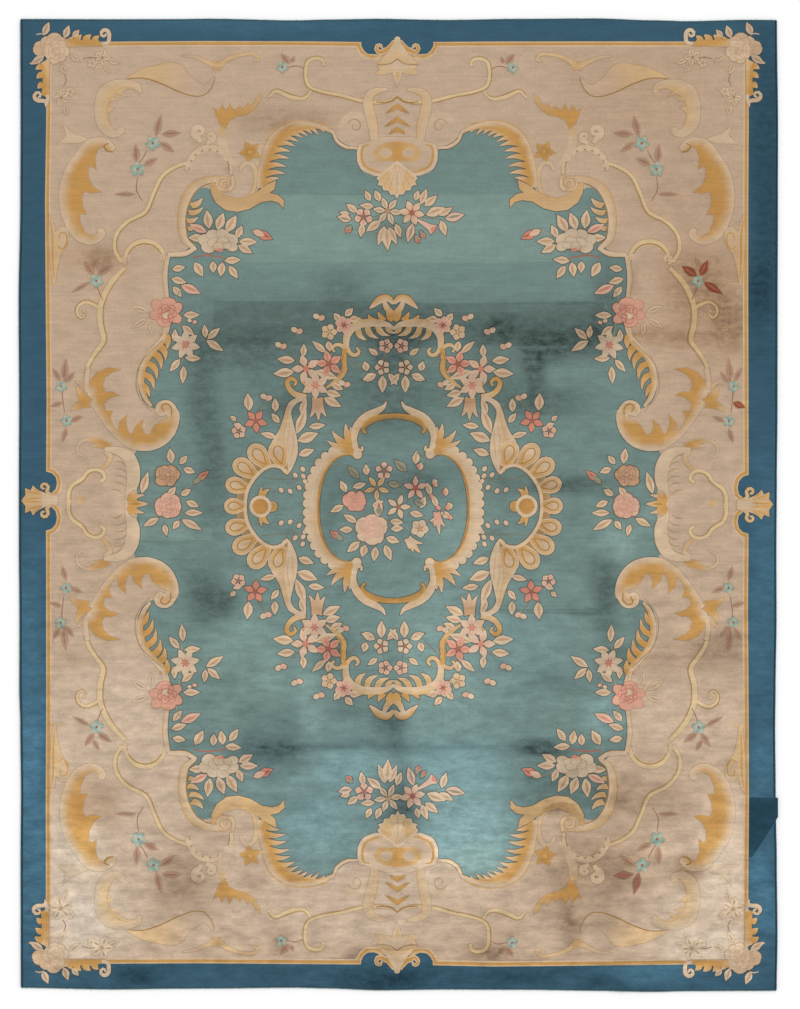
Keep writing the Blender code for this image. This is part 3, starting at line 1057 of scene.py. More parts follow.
pattern += with_slope_shade(both_sides(corner_blossoms(8.5), LINE_MIDDLE))
pattern += with_slope_shade(both_sides(turned_over(corner_blossoms(12), down=True, middle=LINE_MIDDLE), LINE_MIDDLE))

# Sprays of the field: lilies, roses, buds and leaves in cream, blush and rose wool with olive shading.
def spray_leaves(rows, wool="cream", core="peach"):
    """Leaves from rows of base across, base down, tip across, tip down, width."""
    parts = []
    for across, down, tip_across, tip_down, width in rows:
        parts += leaf((across, down), (tip_across, tip_down), width * 1.2, wool, core)
    return parts


end_spray = spray_leaves((
    (371, 200.5, 365.5, 190, 5.5), (380.4, 201, 375.5, 189.5, 6), (374.6, 206, 360, 204.8, 5.5),
    (358, 212, 347, 203.5, 6), (363, 223, 361, 237, 6), (381, 220, 366.5, 231, 7), (396, 223, 401, 237, 6),
    (441, 220, 446, 236, 6.5), (439, 215.7, 453, 207.5, 6), (426.4, 215, 445.2, 207.5, 8),
    (424.6, 206, 437.5, 195.5, 7), (421, 204.2, 427, 188.5, 6.5), (415.7, 200.6, 418.4, 190, 5.5),
    (385, 225, 378, 245, 6), (386, 227, 388, 250, 8), (389, 226, 397, 244, 6), (350, 214, 340, 212, 4.5),
))
end_spray += spray_leaves(
    ((352, 219, 338, 216.6, 7), (445.2, 219, 464.9, 214.8, 7.5), (413, 222.8, 407.7, 242, 7)), "blush", "moss"
)
end_spray += stem([(356, 222), (366, 218), (388, 214), (410, 216), (440, 219)], "bark")
end_spray += bud((352, 225), (346.5, 232.5), 7)
end_spray += bud((416, 234), (419, 243), 6)
end_spray += bud((420, 230), (425.5, 238), 5)
end_spray += bell((417.5, 219.3), (434, 229.5), 9)
end_spray += petals((364, 216.6), 9.5, 5, 7.5, "blush", "wine", 20, shade="pink", fade="rose", inner=0.2)
end_spray += petals((412.1, 212.5), 13, 6, 8, "cream", "wine", 10, shade="blush", fade="rose", fat=0.95)
end_spray += petals((388, 210.5), 15, 6, 7, "cream", "umber", 8, shade="shade", fat=0.9)
pattern += with_slope_shade(end_spray + turned_over(end_spray, down=True))

corner_spray = spray_leaves((
    (209.4, 229.3, 207, 210, 8), (217.4, 230.4, 224, 212.9, 8), (226.6, 232.7, 236.8, 215.2, 8.5),
    (236.9, 238.5, 242.5, 225.6, 6.5), (239, 241.9, 258, 242, 7), (238, 245.4, 252.8, 253.4, 7),
    (203.6, 238.5, 188.3, 238, 7), (194.4, 262.7, 203, 277.4, 8), (212.8, 261.6, 213.4, 273.9, 6.5),
    (222.6, 262.7, 220.4, 277.4, 7), (228.9, 266.3, 237.9, 279, 6.5), (224.3, 261.4, 241.4, 259.9, 6.5),
    (172, 269.8, 185.5, 267.5, 6), (171, 278.8, 186.3, 283.3, 6.5), (172.6, 286.8, 181.7, 297.6, 6),
    (183, 315.5, 200, 315.5, 6.5), (181.8, 325.9, 194.3, 336, 6), (205.8, 338.5, 204.2, 325, 5.5),
    (207.4, 339.7, 220.1, 328.3, 6), (206.2, 340.8, 223.6, 351.6, 6.5), (174.4, 342, 175, 329, 5.5),
    (184.7, 358, 201.2, 359, 6), (180, 359.2, 169.3, 371.7, 6), (183.5, 366, 182.4, 384, 6),
))
corner_spray += spray_leaves(
    ((207, 232.7, 189.4, 224.4, 6.5), (180.7, 285.7, 200.6, 294.2, 7.5)), "blush", "rose"
)
corner_spray += stem([(193, 258), (204, 256), (217, 257), (226, 259)], "wine", 1.6)
corner_spray += stem([(240, 236), (254, 231)], "moss") + bud((253, 230.6), (273, 239), 9, "rose", "blush")
corner_spray += stem([(182, 288), (176, 300), (180, 330), (182, 362)], "moss")
for spot, reach in (
    ((206, 241), 8.5), ((214, 236), 8), ((223, 235), 7.5), ((231, 240), 8), ((232, 247), 6.5),
    ((208, 248), 7.5),
):
    corner_spray.append(area(
        disc(spot, reach, reach * 0.78, 0.3, 10),
        "white", rim="shade", rim_width=0.45,
        fade=("peach", (219, 246), spot),
    ))
for spot, reach in (((214, 243), 7), ((223, 242), 7), ((219, 247), 6.5), ((227, 246), 5)):
    corner_spray.append(area(
        disc(spot, reach, reach * 0.75, -0.2, 9),
        "white", rim="umber", rim_width=0.5,
        fade=("peach", (219, 250), spot),
    ))
corner_spray += [area(disc((220, 250.5), 3.2, 2.0, points=7), "rose", carved=False)]
for spot, reach, turn in (
    ((158, 306), 8, 0.6), ((168, 303), 8, 0), ((176, 309), 7.5, -0.7), ((175, 318), 7.5, 0.5),
    ((164, 322), 7.5, 0.2), ((156, 315), 7, 0),
):
    fade = ("rose", (167, 313), spot)
    corner_spray.append(area(
        disc(spot, reach, reach * 0.7, turn, 9), "pink", rim="rose", rim_width=0.5, fade=fade
    ))
corner_spray += rose((167, 313.5), 9.5, ("pink", "rose", "wine"), 0.95, heart="white")
corner_spray += [area(disc((165, 316), 2.4, 3, points=8), "white")]
corner_spray += petals((185.5, 345), 15, 7, 8.5, "white", "rose", 12, shade="cream", fade="blush", fat=0.95)
corner_spray += band([(183, 341), (184, 347), (182, 350)], [0.8, 1.4, 0.8], "rose", carved=False)
corner_spray += band([(188, 341), (188, 348)], [0.8, 1.3], "rose", carved=False)
corner_spray += spray_leaves(
    ((148, 312, 132, 306, 5), (147, 318, 131, 328, 5), (151, 322, 152, 336, 4.5)), "pale", "shade"
)
corner_spray += berries((192, 322), 2.4)
pattern += with_slope_shade(four_times(corner_spray))

side_spray = spray_leaves((
    (171.5, 463.6, 169.4, 448, 7), (179.6, 464.3, 187.2, 455.7, 5.5), (183.3, 468.7, 195.2, 472.9, 6),
    (181, 495.6, 191.1, 489.7, 6), (168.3, 496.6, 175.9, 487, 6), (186.4, 501.7, 199.2, 507.3, 6),
    (184.7, 513.2, 203.3, 513.5, 6), (181.8, 519.8, 202.1, 530.7, 6.5), (179.6, 520.8, 173, 529.8, 5.5),
    (164.2, 524.2, 167.1, 536.4, 5), (159.1, 518.3, 143, 526.6, 6), (141.5, 493.9, 148, 471.5, 7),
))
side_spray += bud((193, 484.4), (209.2, 471.1), 7) + stem([(182, 492), (193, 484)], "moss")
side_spray += outer_petals((168, 475), 8.5, 6.5, "peach", "plum", "mauve", 6)
side_spray += rose((168, 475), 9.5, ("peach", "mauve", "rust"), 0.9)
side_spray += outer_petals((169, 507), 9.5, 6.5, "blush", "rose", "pink")
side_spray += rose((169, 507), 10, ("blush", "pink", "rose"), 0.9)
pattern += with_slope_shade(both_sides(side_spray))

# Medallion: an oval wreath of scrolls, shells and flowers round a small oval frame.
# Its scrolls are cream and ochre, its flowers blush, rose and white on the teal ground.
MEDALLION_MIDDLE = (393.5, 506.5)
def lobe(base, tip, width, narrow=0.3):
    """The outline of a round-ended shell lobe that widens from its base to its tip."""
    base = np.array(base, float)
    along = np.array(tip, float) - base
    left = np.array((along[1], -along[0])) / math.hypot(*along) * width / 2
    angles = np.radians(np.linspace(-105, 105, 9))
    head = [base + along * (0.6 + 0.4 * math.cos(a)) - left * math.sin(a) for a in angles]
    return [base + left * narrow] + head + [base - left * narrow]


wreath = shaded(
    [(393.5, 303), (387.5, 297.5), (380, 299), (374, 304), (369.5, 308)],
    [3, 7, 8, 6, 1.5], "ochre", "cream", side=1, near=1.0, far=5.0,
)
wreath += band(
    [(384, 301), (387, 308), (392, 313), (393.5, 319)],
    [4, 6, 6, 5], "ochre",
    fade=("cream", (384, 300), (392, 316)),
)
wreath += claws(
    (
        (393, 320, 386, 309, 6, 0.1), (384, 320, 378, 311, 6, 0.1), (374, 321, 368, 314, 6, 0.1),
        (365, 323, 359, 317, 5.5, 0.1),
    ),
    "ochre", "honey",
)
arch_claws = (
    (358, 327, 367, 340, 7, -0.22), (367, 325, 379, 338, 7, -0.22), (377, 324, 390, 335, 7, -0.22),
    (387, 325, 395, 333, 6, -0.2),
)
wreath += claws(arch_claws, "honey", "cream")
wreath += shaded(
    [(395, 329), (388, 324.5), (377, 322.5), (363, 323), (352, 328), (346.5, 337), (346.5, 350)],
    [2, 6, 8, 8, 8, 7, 5], "honey", "cream", side=1, near=3.0, far=8.0,
)
wreath += band([(347, 348), (351, 354), (356, 355), (359, 351), (356, 347.5)], [4.5, 4, 4, 3.4, 2], "gold")
wreath += band([(346, 350), (341, 345.5), (335.5, 345), (332, 349), (335, 352)], [4.5, 4, 3.6, 3, 2], "gold")
wreath += band(
    [(345, 348), (343.5, 360), (344, 369), (338, 379), (326, 388)],
    [5, 5.5, 6.5, 5, 2], "honey",
    fade=("ochre", (344, 350), (338, 380)),
)
wreath += band([(343, 354), (341.5, 364), (341.5, 371), (335, 380)], [0.8, 1.4, 0.8], "brown", carved=False)
wreath += band(
    [(306, 397), (296, 395), (289, 389), (287, 382), (291, 378.5), (296, 382), (294, 386)],
    [5, 6, 5.5, 5, 4.5, 3.6, 2], "gold",
    fade=("ochre", (292, 378), (298, 394)),
)
wreath += band([(303, 393), (306, 386), (301, 382)], [3, 3, 1.5], "honey")
horn = [
    (303, 396), (296, 398), (289, 402), (285, 410), (282.5, 419), (279, 429), (275, 436), (271, 443),
    (279, 447), (284, 457),
]
horn += [
    (284, 466), (280.5, 468.5), (287, 474.5), (294, 464), (297.5, 451), (296.5, 438), (293, 424), (291, 411),
    (297, 403), (305, 400),
]
wreath += [
    area(
        flow(horn, closed=True), "cream",
        fade=("honey", [(286, 408), (284, 422), (279, 438), (284, 452)], 0.5, 4.0),
    ),
]
for spine in (
    [(288, 412), (286, 424), (283, 436), (286, 450)], [(290, 418), (289, 430), (287, 440), (289, 456)],
    [(293, 432), (293, 444), (291, 458)],
):
    wreath += band(spine, [0.6, 1.2, 1.2, 0.6], "honey", carved=False)
ring = [
    (288, 474), (282, 468), (273, 465.5), (263, 469.5), (254.5, 478), (248, 489), (245.5, 500),
    (245.3, 506.5),
]
wreath += [
    area(
        ring + [(236, 506.5), (237, 490), (243, 474), (256, 459), (272, 450), (286, 450)],
        "umber",
        fade=("brown", flow(ring), 1.0, 9.0),
    ),
]
lobes = (
    ((282, 467), (275, 440.5), 20), ((268, 467), (250, 445), 20), ((256, 476), (233.5, 461), 19),
    ((249, 489), (225.5, 483), 17.5), ((246, 506.5), (224, 506.5), 17),
)
for base, tip, width in lobes:
    base = np.array(base, float)
    tip = np.array(tip, float)
    wreath.append(area(
        lobe(base, tip, width, 0.45), "gold", rim="pale", rim_width=1.2,
        fade=("ochre", base, mix(base, tip, 0.85)),
    ))
    heart = lobe(mix(base, tip, 0.12), mix(base, tip, 0.82), width * 0.55, 0.15)
    wreath.append(area(
        heart, "pale", rim="brown", rim_width=1.1, carved=False, fade=("ochre", base, mix(base, tip, 0.7))
    ))
wreath += band(ring, [3.6, 3.8, 3.8, 3.8, 3.6], "cream", rim="honey", rim_width=0.5)
wreath += claws(((263, 498, 270, 489, 6, 0.2), (262, 500, 262, 486, 5, 0.1)), "ochre", "gold")
wreath += [area(disc((272, 506.5), 5.5, points=10), "ochre", rim="honey")]
wreath += [
    area(disc((260.5, 506.5), 11.2, points=16), "cream"),
    area(disc((260.5, 506.5), 8, points=12), "amber", fade=("ochre", (256, 500), (266, 512)), carved=False),
]
wreath += stem([(262, 477), (276, 479), (290, 479), (306, 481)], "bark", 1.0)
wreath += stem([(286, 484), (296, 481), (300, 478)], "bark", 0.9)
wreath += spray_leaves((
    (296, 434, 306, 408, 8), (297, 441, 318, 433, 9), (298, 455, 314, 449.5, 7), (308, 427, 325, 425, 6),
    (276, 437, 260, 433, 5.5), (249, 411, 247.5, 393, 8), (275, 412, 275, 398, 6.5),
    (279, 423, 271, 413, 5.5), (300, 414, 306, 398, 6), (236, 421, 230, 416, 4), (242, 427, 233, 424, 4.5),
    (294, 372, 273, 374, 8), (295, 361, 277, 359, 7), (303.5, 357, 304, 344, 6), (326, 353, 312, 341, 5.5),
    (315, 371, 338, 379, 8), (331, 384, 343, 390, 6), (325, 392, 341, 396, 7), (323, 398, 341, 407, 7.5),
    (345, 316, 353, 308, 6), (349, 320, 360, 318, 6.5), (340, 321, 334, 313, 6), (378, 355, 368, 348, 5),
    (367, 371, 364, 361, 6.5), (376, 374, 362, 380, 7), (382, 375, 382, 393, 7.5), (388, 373, 397, 385, 5.5),
    (372, 379, 362, 379, 4), (328, 341, 330, 352, 6),
))
wreath += stem([(254, 416), (262, 405), (266, 398)], "bark")
wreath += stem([(345, 352), (352, 362), (362, 372)], "bark")
wreath += stem([(381, 367), (385, 352)], "bark") + stem([(290, 352), (298, 360), (306, 369)], "bark")
wreath += claws(
    ((315, 398, 309, 418, 7, 0.1), (317, 398, 318, 421, 8, 0), (319, 398, 326, 417, 7, -0.1)),
    "peach", "cream",
)
wreath += petals((238.5, 431.5), 7.5, 5, 6.5, "blush", "plum", 45, shade="pink", inner=0.2)
wreath += petals((255.5, 421), 12, 5, 7.5, "rose", "wine", 14, shade="rose", fade="rose", fat=0.9)
wreath += petals((385.5, 345.5), 7.5, 5, 6.5, "blush", "plum", 0, shade="pink", inner=0.2)
wreath += petals((382, 367), 8, 5, 6.5, "pale", "wine", 36, shade="blush", inner=0.2)
wreath += petals((344, 325), 9.5, 6, 7, "blush", "wine", 18, shade="pink", fade="rose")
wreath += petals((329, 332), 8.5, 5, 7, "pale", "peach", 0, shade="gold", fade="honey")
wreath += petals((329, 364), 14, 5, 9, "pink", "wine", 40, shade="rose", fade="rose", fat=0.85)
wreath += petals((306, 369), 15, 5, 9, "cream", "rose", -36, shade="blush", fade="pink", fat=0.9)
wreath += petals((315, 385.5), 14, 6, 9, "cream", "rose", 30, shade="blush", fade="pink", fat=0.9)
for across, down in ((319, 317.5), (297, 331), (281, 346), (266, 397.5), (344, 384)):
    wreath += berries((across, down), 3.6)
for across, down in (
    (281, 490), (290, 491), (299, 487.5), (305, 481.5), (302.5, 469), (295, 475), (303, 476),
):
    wreath.append(area(
        disc((across, down), 3.0, 2.3, 0.9, 8),
        "cream",
        fade=("blush", (across - 3, down), (across + 1, down)),
    ))
pattern += with_slope_shade(four_times(wreath, MEDALLION_MIDDLE))

# Oval frame: a scalloped cream ribbon round the bouquet, closed by curled ochre caps above and below.
OVAL_MIDDLE = (393.5, 508.0)
OVAL_LINE = [(357, 454.5), (346, 450.5), (334, 454.5), (323.5, 465), (316, 481), (312.8, 496), (312.3, 508)]
oval = []
for number in range(10):
    share = 0.1 + 0.094 * number
    track = flow(OVAL_LINE)
    along, left = sides_of(track)
    spot = np.array([np.interp(share, along, track[:, axis]) for axis in (0, 1)])
    out = np.array([np.interp(share, along, left[:, axis]) for axis in (0, 1)])
    oval.append(area(disc(spot - out * (1.5 + 4.0 * min(share * 2, 1)), 4.6, points=9), "cream"))
oval += shaded(OVAL_LINE, [6.5, 8, 9.5, 11, 13, 14, 14], "cream", "honey", side=1, near=1.0, far=5.5)
oval_inner = [
    (353, 455.5), (346, 454.6), (336, 458.5), (327.5, 467.5), (321, 482), (318.6, 496), (318.3, 508),
]
oval += band(
    oval_inner, [0.8, 1.6, 2.0, 2.2, 2.2], "brown",
    fade=("amber", [(330, 458), (318, 500)], 2.0, 8.0),
    carved=False,
)
oval += [area(disc((357, 454), 5, points=10), "cream", rim="honey", rim_width=0.6)]
oval += claws(
    (
        (353, 446, 345, 423, 9, 0.1), (352, 447, 331, 430, 9, 0.12), (352, 449, 326, 440, 8.5, 0.1),
        (353, 450, 334, 449, 7, 0.05), (354, 438, 350, 426, 6, 0.1),
    ),
    "ochre", "cream",
)
oval += shaded(
    [(356, 448), (353.5, 438), (356, 427), (365, 417), (376, 411), (383, 406.5), (386, 401)],
    [4, 6, 8, 9, 8, 6, 1], "honey", "cream", side=1, near=3.5, far=9.0,
)
oval += shaded(
    [(365.5, 433), (362.5, 429), (366, 423.5), (373, 419), (383, 416.5), (393.5, 415.5)],
    [3, 4, 6, 6, 5.4, 5], "ochre", "brown", side=-1, near=0.6, far=3.0,
)
oval += band(
    [(353.5, 441), (354, 447)] + [(358, 450), (362, 449), (361.5, 445.5)],
    [4, 4.6, 4.6, 3.6, 2], "cream", rim="honey", rim_width=0.5,
)
pattern += with_slope_shade(four_times(oval, OVAL_MIDDLE))

# Bouquet in the oval: a big rose with lilies, bells and small stars on thin dark stems.
bouquet = (
    stem([(352, 466), (357, 474), (360, 482)], "bark")
    + stem([(406, 470), (402, 486), (398, 506)], "bark")
)
bouquet += stem([(398, 478), (398, 496), (388, 520), (378, 540)], "bark")
bouquet += stem([(418, 470), (408, 500), (396, 530)], "bark")
bouquet += stem([(443, 492), (430, 500), (408, 516)], "bark")
bouquet += stem([(352, 486), (362, 505), (372, 525)], "bark")
bouquet += spray_leaves((
    (343.6, 505, 330, 512, 6), (346.5, 492, 340, 480, 6), (352.5, 487, 366.3, 483, 5.5),
    (366.5, 475, 365.5, 463.5, 6), (415.5, 464, 416.5, 450, 6.5), (357, 522, 343, 514, 6),
    (353, 529, 339, 529.5, 6), (360, 541, 347, 552, 7), (365.5, 544, 362, 557, 7), (376, 546, 374, 561, 7),
    (385, 544, 391.5, 560, 7), (386, 537, 400, 541.5, 6.5), (391, 528, 404, 527.5, 6),
    (390, 520.5, 404, 522, 6), (421, 508, 425.5, 496, 6), (410, 512, 424, 515.5, 6), (430, 520, 444, 522, 6),
    (431, 495, 427, 482, 5.5), (436, 484, 433.5, 479, 5), (446, 496, 446, 487, 5), (441, 512, 452, 518, 6),
    (452, 509, 448, 502, 5), (438, 507, 432, 494, 5), (420, 470, 421, 462, 5), (378, 516, 379, 498, 8),
    (372, 506, 384, 500, 5),
))
bouquet += spray_leaves(
    (
        (358.9, 478, 347, 465, 6.5), (406.7, 471, 394, 459.5, 7.5), (414, 500, 425, 505, 6),
        (388, 482, 400, 486, 6),
    ),
    "moss", "bark",
)
bouquet += stem([(420, 480), (425, 460), (416, 452)], "bark")
bouquet += stem([(448, 500), (440, 520), (424, 522)], "bark")
bouquet += bud((343, 540), (330, 531), 7) + bud((379, 514), (379.5, 500), 8, "blush")
bouquet += claws(
    ((436, 512, 434, 527, 5, 0.1), (437, 512, 440, 535, 6, 0), (438, 512, 446, 527, 5, -0.1)), "pink", "white"
)
bouquet += claws(
    (
        (407, 538, 409, 549, 6, 0.1), (408, 538, 421, 553, 7, 0), (409, 537, 424, 543, 5, -0.1),
        (408, 539, 414, 552, 5, 0),
    ),
    "pale", "gold",
)
bouquet += petals((383.8, 470), 9, 5, 6.5, "blush", "wine", -18, shade="pink", fade="rose", inner=0.25)
bouquet += petals((415.6, 487.8), 12.5, 5, 6.5, "blush", "wine", -18, shade="pink", fade="rose", fat=0.9)
bouquet += petals((376.7, 487.2), 13.5, 5, 6, "gold", "bark", 18, shade="ochre", fat=0.9)
bouquet += petals((398.4, 506.3), 13, 5, 6.5, "cream", "plum", 0, shade="blush", fat=0.9)
bouquet += petals((420, 528), 9.5, 5, 8.5, "white", "ochre", 10, shade="pale", fade="blush")
bouquet += outer_petals((355, 500.5), 7.5, 6, "pink", "rose", "rose", 6)
bouquet += rose((355, 500.5), 8, ("pink", "rose", "wine"))
bouquet += outer_petals((371.5, 528.5), 12.5, 7.2, "cream", "pink", "blush", 8)
bouquet += rose((371.5, 527.5), 12.5, ("blush", "blush", "pink"))
for across, down in (
    (418.8, 466), (435.4, 484.6), (445, 492.3), (431.6, 496), (438.6, 507.6), (447.9, 507.6), (450.4, 517.2),
):
    bouquet.append(area(
        disc((across, down), 2.9, 2.3, 0.6, 7), "blush", fade=("rose", (across - 2, down), (across + 3, down))
    ))
pattern += with_slope_shade(bouquet)

# The knotting and carving: every area becomes its own patch of pile, and the shears cut the ground a
# little lower round each motif. The pile is cut wool, rounded over at the rug's edge, on a flat
# woven back.
PILE_TOP = 0.012
CARVED_DEPTH = 0.0011
RIM_LOWER = ((0.0, 0.0025), (0.0011, 0.0007), (0.0026, 0.0))
GRID_STEP = 6.5
FINE_GRID_STEP = 3.2
BACK_GRID_STEP = 18.0
NEAR_CELL = 2.4
SETTLE = 0.7
DYE_SPREAD = 0.022
# Colours of the painted shade on the carved slope round each motif, by the ground it lies on.
SLOPE_SHADES = {"border": "#3b4a50", "beige": "#a68c71", "field": "#57574d"}


def to_squares(points):
    """Metres on the rug to squares across and down."""
    return np.array(points) / (KNOT, -KNOT) + CARTOON_MIDDLE


# across, down, reach across, reach down, how far the pattern sits lower there
LEANS = ((45, 502, 45, 42, -3.0), (749, 504, 45, 42, 2.0), (530, 985, 120, 75, 3.5))


def drifted(points):
    """A smooth small drift, because no two quarters of a knotted rug come out the same."""
    across, down = points.T
    lower = np.zeros(len(points))
    for middle, level, reach_across, reach_down, lean in LEANS:
        lower += (
            lean * np.exp(-(((across - middle) / reach_across) ** 2) - ((down - level) / reach_down) ** 2)
        )
    side = np.sin(down / 61 + 1.0) + 0.6 * np.sin(across / 37 + down / 90) + 0.4 * np.sin(down / 23 + 2.0)
    along = np.sin(across / 53 + 0.5) + 0.6 * np.sin(down / 41 - across / 80) + 0.4 * np.sin(across / 19)
    return points + np.stack([side * SETTLE / 2, along * SETTLE / 2 + lower], axis=1)


def anticlockwise(loop):
    """The loop, turned round where it runs the other way in the space of the mesh."""
    across, down = loop.T
    turning = np.sum(across * np.roll(down, -1) - np.roll(across, -1) * down)
    return loop if turning < 0 else loop[::-1]


def inside_line(loop, width):
    """The loop's inner line, without the points that would lie too near another side of it."""
    inner = grown(loop, -width)
    runs = np.roll(loop, -1, axis=0) - loop
    offsets = inner[:, None] - loop[None]
    shares = np.clip(
        np.sum(offsets * runs[None], axis=2) / np.maximum(np.sum(runs * runs, axis=1), 1e-9), 0, 1
    )
    near = np.linalg.norm(offsets - shares[:, :, None] * runs[None], axis=2).min(axis=1)
    return inner[near > 0.88 * width]


outline_squares = to_squares(outline)
flat_points = []
drops = []
faces = []
face_areas = []
face_wools = []


def lay_loop(loop, number, wool, drop=0.0):
    """Puts a closed line of points into the flat plan and remembers what it encloses."""
    loop = anticlockwise(loop)
    first = len(flat_points)
    flat_points.extend(loop.tolist())
    drops.extend([drop] * len(loop))
    faces.append(list(range(first, first + len(loop))))
    face_areas.append(number)
    face_wools.append(wool)


for inset, drop in RIM_LOWER:
    lay_loop(grown(outline_squares, -inset / KNOT), -1, "border", drop)
for number, one in enumerate(pattern):
    loop = drifted(one["loop"])
    if len(loop) > 2:
        inner = inside_line(loop, one["rim_width"]) if one["rim"] else loop
        lay_loop(loop, number, one["rim"] or one["wool"])
        if one["rim"] and len(inner) > 2:
            lay_loop(inner, number, one["wool"])

# First every line is laid down as drawn; then only the lines that still show are kept, and the ground
# between them is filled in. owners holds what each patch is: its topmost face, its ground, and
# whether it stands up.
as_drawn = delaunay_2d_cdt(
    [Vector((across, -down)) for across, down in flat_points], [], faces, 0, 1e-3, True
)
carved_faces = [number >= 0 and pattern[number]["carved"] for number in face_areas]
ground_faces = [number < 0 or pattern[number]["layer"] == "ground" for number in face_areas]
slope_faces = [number >= 0 and pattern[number]["layer"] == "slope" for number in face_areas]
owners = {}
left_owner = {}
for (a, b, c), inside in zip(as_drawn[2], as_drawn[5]):
    if not any(ground_faces[face] for face in inside):
        continue
    top_face = max(inside)
    standing = any(carved_faces[face] for face in inside)
    ground = face_wools[max(face for face in inside if ground_faces[face])].split()[-1]
    if slope_faces[top_face]:
        key = ("slope", "beige" if standing else ground, standing)
    else:
        key = (top_face, ground, standing)
    owner = owners.setdefault(key, len(owners))
    for start, end in ((a, b), (b, c), (c, a)):
        left_owner[(start, end)] = owner
shown_lines = []
line_owners = []
for (start, end), owner in left_owner.items():
    other = left_owner.get((end, start), -1)
    if other != owner and (start < end or other < 0):
        shown_lines.append((start, end))
        line_owners.append((owner, other))

def thinned(lines, sides, least=0.3, passes=4):
    """The same lines without the points that nobody could miss, each on a nearly straight stretch."""
    lines = dict(enumerate(lines))
    sides = dict(enumerate(sides))
    at_point = {}
    for number, ends in lines.items():
        for point in ends:
            at_point.setdefault(point, []).append(number)
    for _ in range(passes):
        busy = set()
        for point, numbers in at_point.items():
            if len(numbers) != 2 or point in busy or drop_at[point] > 0:
                continue
            first, second = numbers
            before = lines[first][0] if lines[first][1] == point else lines[first][1]
            after = lines[second][0] if lines[second][1] == point else lines[second][1]
            if before == after or before in busy or after in busy:
                continue
            here, there, beyond = [as_drawn[0][index] for index in (before, point, after)]
            if abs((there - here).cross(beyond - here)) / 2 > least:
                continue
            sides[first] = sides[first] if lines[first][1] == point else sides[first][::-1]
            lines[first] = (before, after)
            del lines[second], sides[second]
            at_point[point] = []
            at_point[after][at_point[after].index(second)] = first
            busy |= {before, after}
    return list(lines.values()), list(sides.values())


drop_at = [max((drops[old] for old in olds), default=0.0) for olds in as_drawn[3]]
shown_lines, line_owners = thinned(shown_lines, line_owners)
shown_ends = np.array(shown_lines)
kept = np.unique(shown_ends)
new_place = np.full(len(as_drawn[0]), -1)
new_place[kept] = np.arange(len(kept))
plan_input = [Vector(as_drawn[0][index]) for index in kept]
plan_drops = [drop_at[index] for index in kept]
taken = {(round(p.x / NEAR_CELL), round(-p.y / NEAR_CELL)) for p in plan_input}


def add_grid(step, left, top, right, bottom):
    """Evenly staggered points over part of the ground, away from the lines of the pattern."""
    row = 0
    down = top
    while down < bottom:
        across = left + (step / 2 if row % 2 else 0.0)
        while across < right:
            cell = (round(across / NEAR_CELL), round(down / NEAR_CELL))
            near = any((cell[0] + i, cell[1] + j) in taken for i in (-1, 0, 1) for j in (-1, 0, 1))
            if not near:
                plan_input.append(Vector((across, -down)))
                plan_drops.append(0.0)
            across += step
        down += step * 0.87
        row += 1


left, top = outline_squares.min(axis=0) + 3.5
right, bottom = outline_squares.max(axis=0) - 3.5
add_grid(GRID_STEP, left, top, right, bottom)
add_grid(FINE_GRID_STEP, 575.0, 820.0, 665.0, bottom)
plan = delaunay_2d_cdt(plan_input, new_place[shown_ends].tolist(), [], 0, 1e-3, True)
plan_points = np.array([(p.x, -p.y) for p in plan[0]])
side_owner = {}
for (start, end), olds in zip(plan[1], plan[4]):
    for old in olds:
        first, last = new_place[shown_ends[old]]
        run = plan_input[last] - plan_input[first]
        forward = (plan[0][end] - plan[0][start]).dot(run) > 0
        owner, other = line_owners[old] if forward else line_owners[old][::-1]
        side_owner[(start, end)] = owner
        side_owner[(end, start)] = other
triangle_by_edge = {}
for index, (a, b, c) in enumerate(plan[2]):
    for edge in ((a, b), (b, c), (c, a)):
        triangle_by_edge[edge] = index
triangle_owner = [None] * len(plan[2])
for seed in range(len(plan[2])):
    if triangle_owner[seed] is not None:
        continue
    patch = [seed]
    triangle_owner[seed] = -1
    votes = {}
    for index in patch:
        a, b, c = plan[2][index]
        for start, end in ((a, b), (b, c), (c, a)):
            if (start, end) in side_owner:
                owner = side_owner[(start, end)]
                run = plan[0][end] - plan[0][start]
                votes[owner] = votes.get(owner, 0.0) + run.length
                continue
            beside = triangle_by_edge.get((end, start))
            if beside is not None and triangle_owner[beside] is None:
                triangle_owner[beside] = -1
                patch.append(beside)
    winner = max(votes, key=votes.get) if votes else -1
    for index in patch:
        triangle_owner[index] = winner
owner_keys = list(owners)
kept_triangles = [index for index, owner in enumerate(triangle_owner) if owner >= 0]
corners = np.array([plan[2][index] for index in kept_triangles])
corner_owner = np.array([triangle_owner[index] for index in kept_triangles])
standing_owner = np.array([key[2] for key in owner_keys])
raised = np.zeros(len(plan_points), bool)
raised[corners[standing_owner[corner_owner]].ravel()] = True
drop_of = np.array([max((plan_drops[old] for old in olds), default=0.0) for olds in plan[3]])
rug_points = (plan_points - CARTOON_MIDDLE) * (KNOT, -KNOT)
lifts = np.array([lift(x, y) for x, y in rug_points])
heights = PILE_TOP + lifts - np.maximum(drop_of, np.where(raised, 0.0, CARVED_DEPTH))
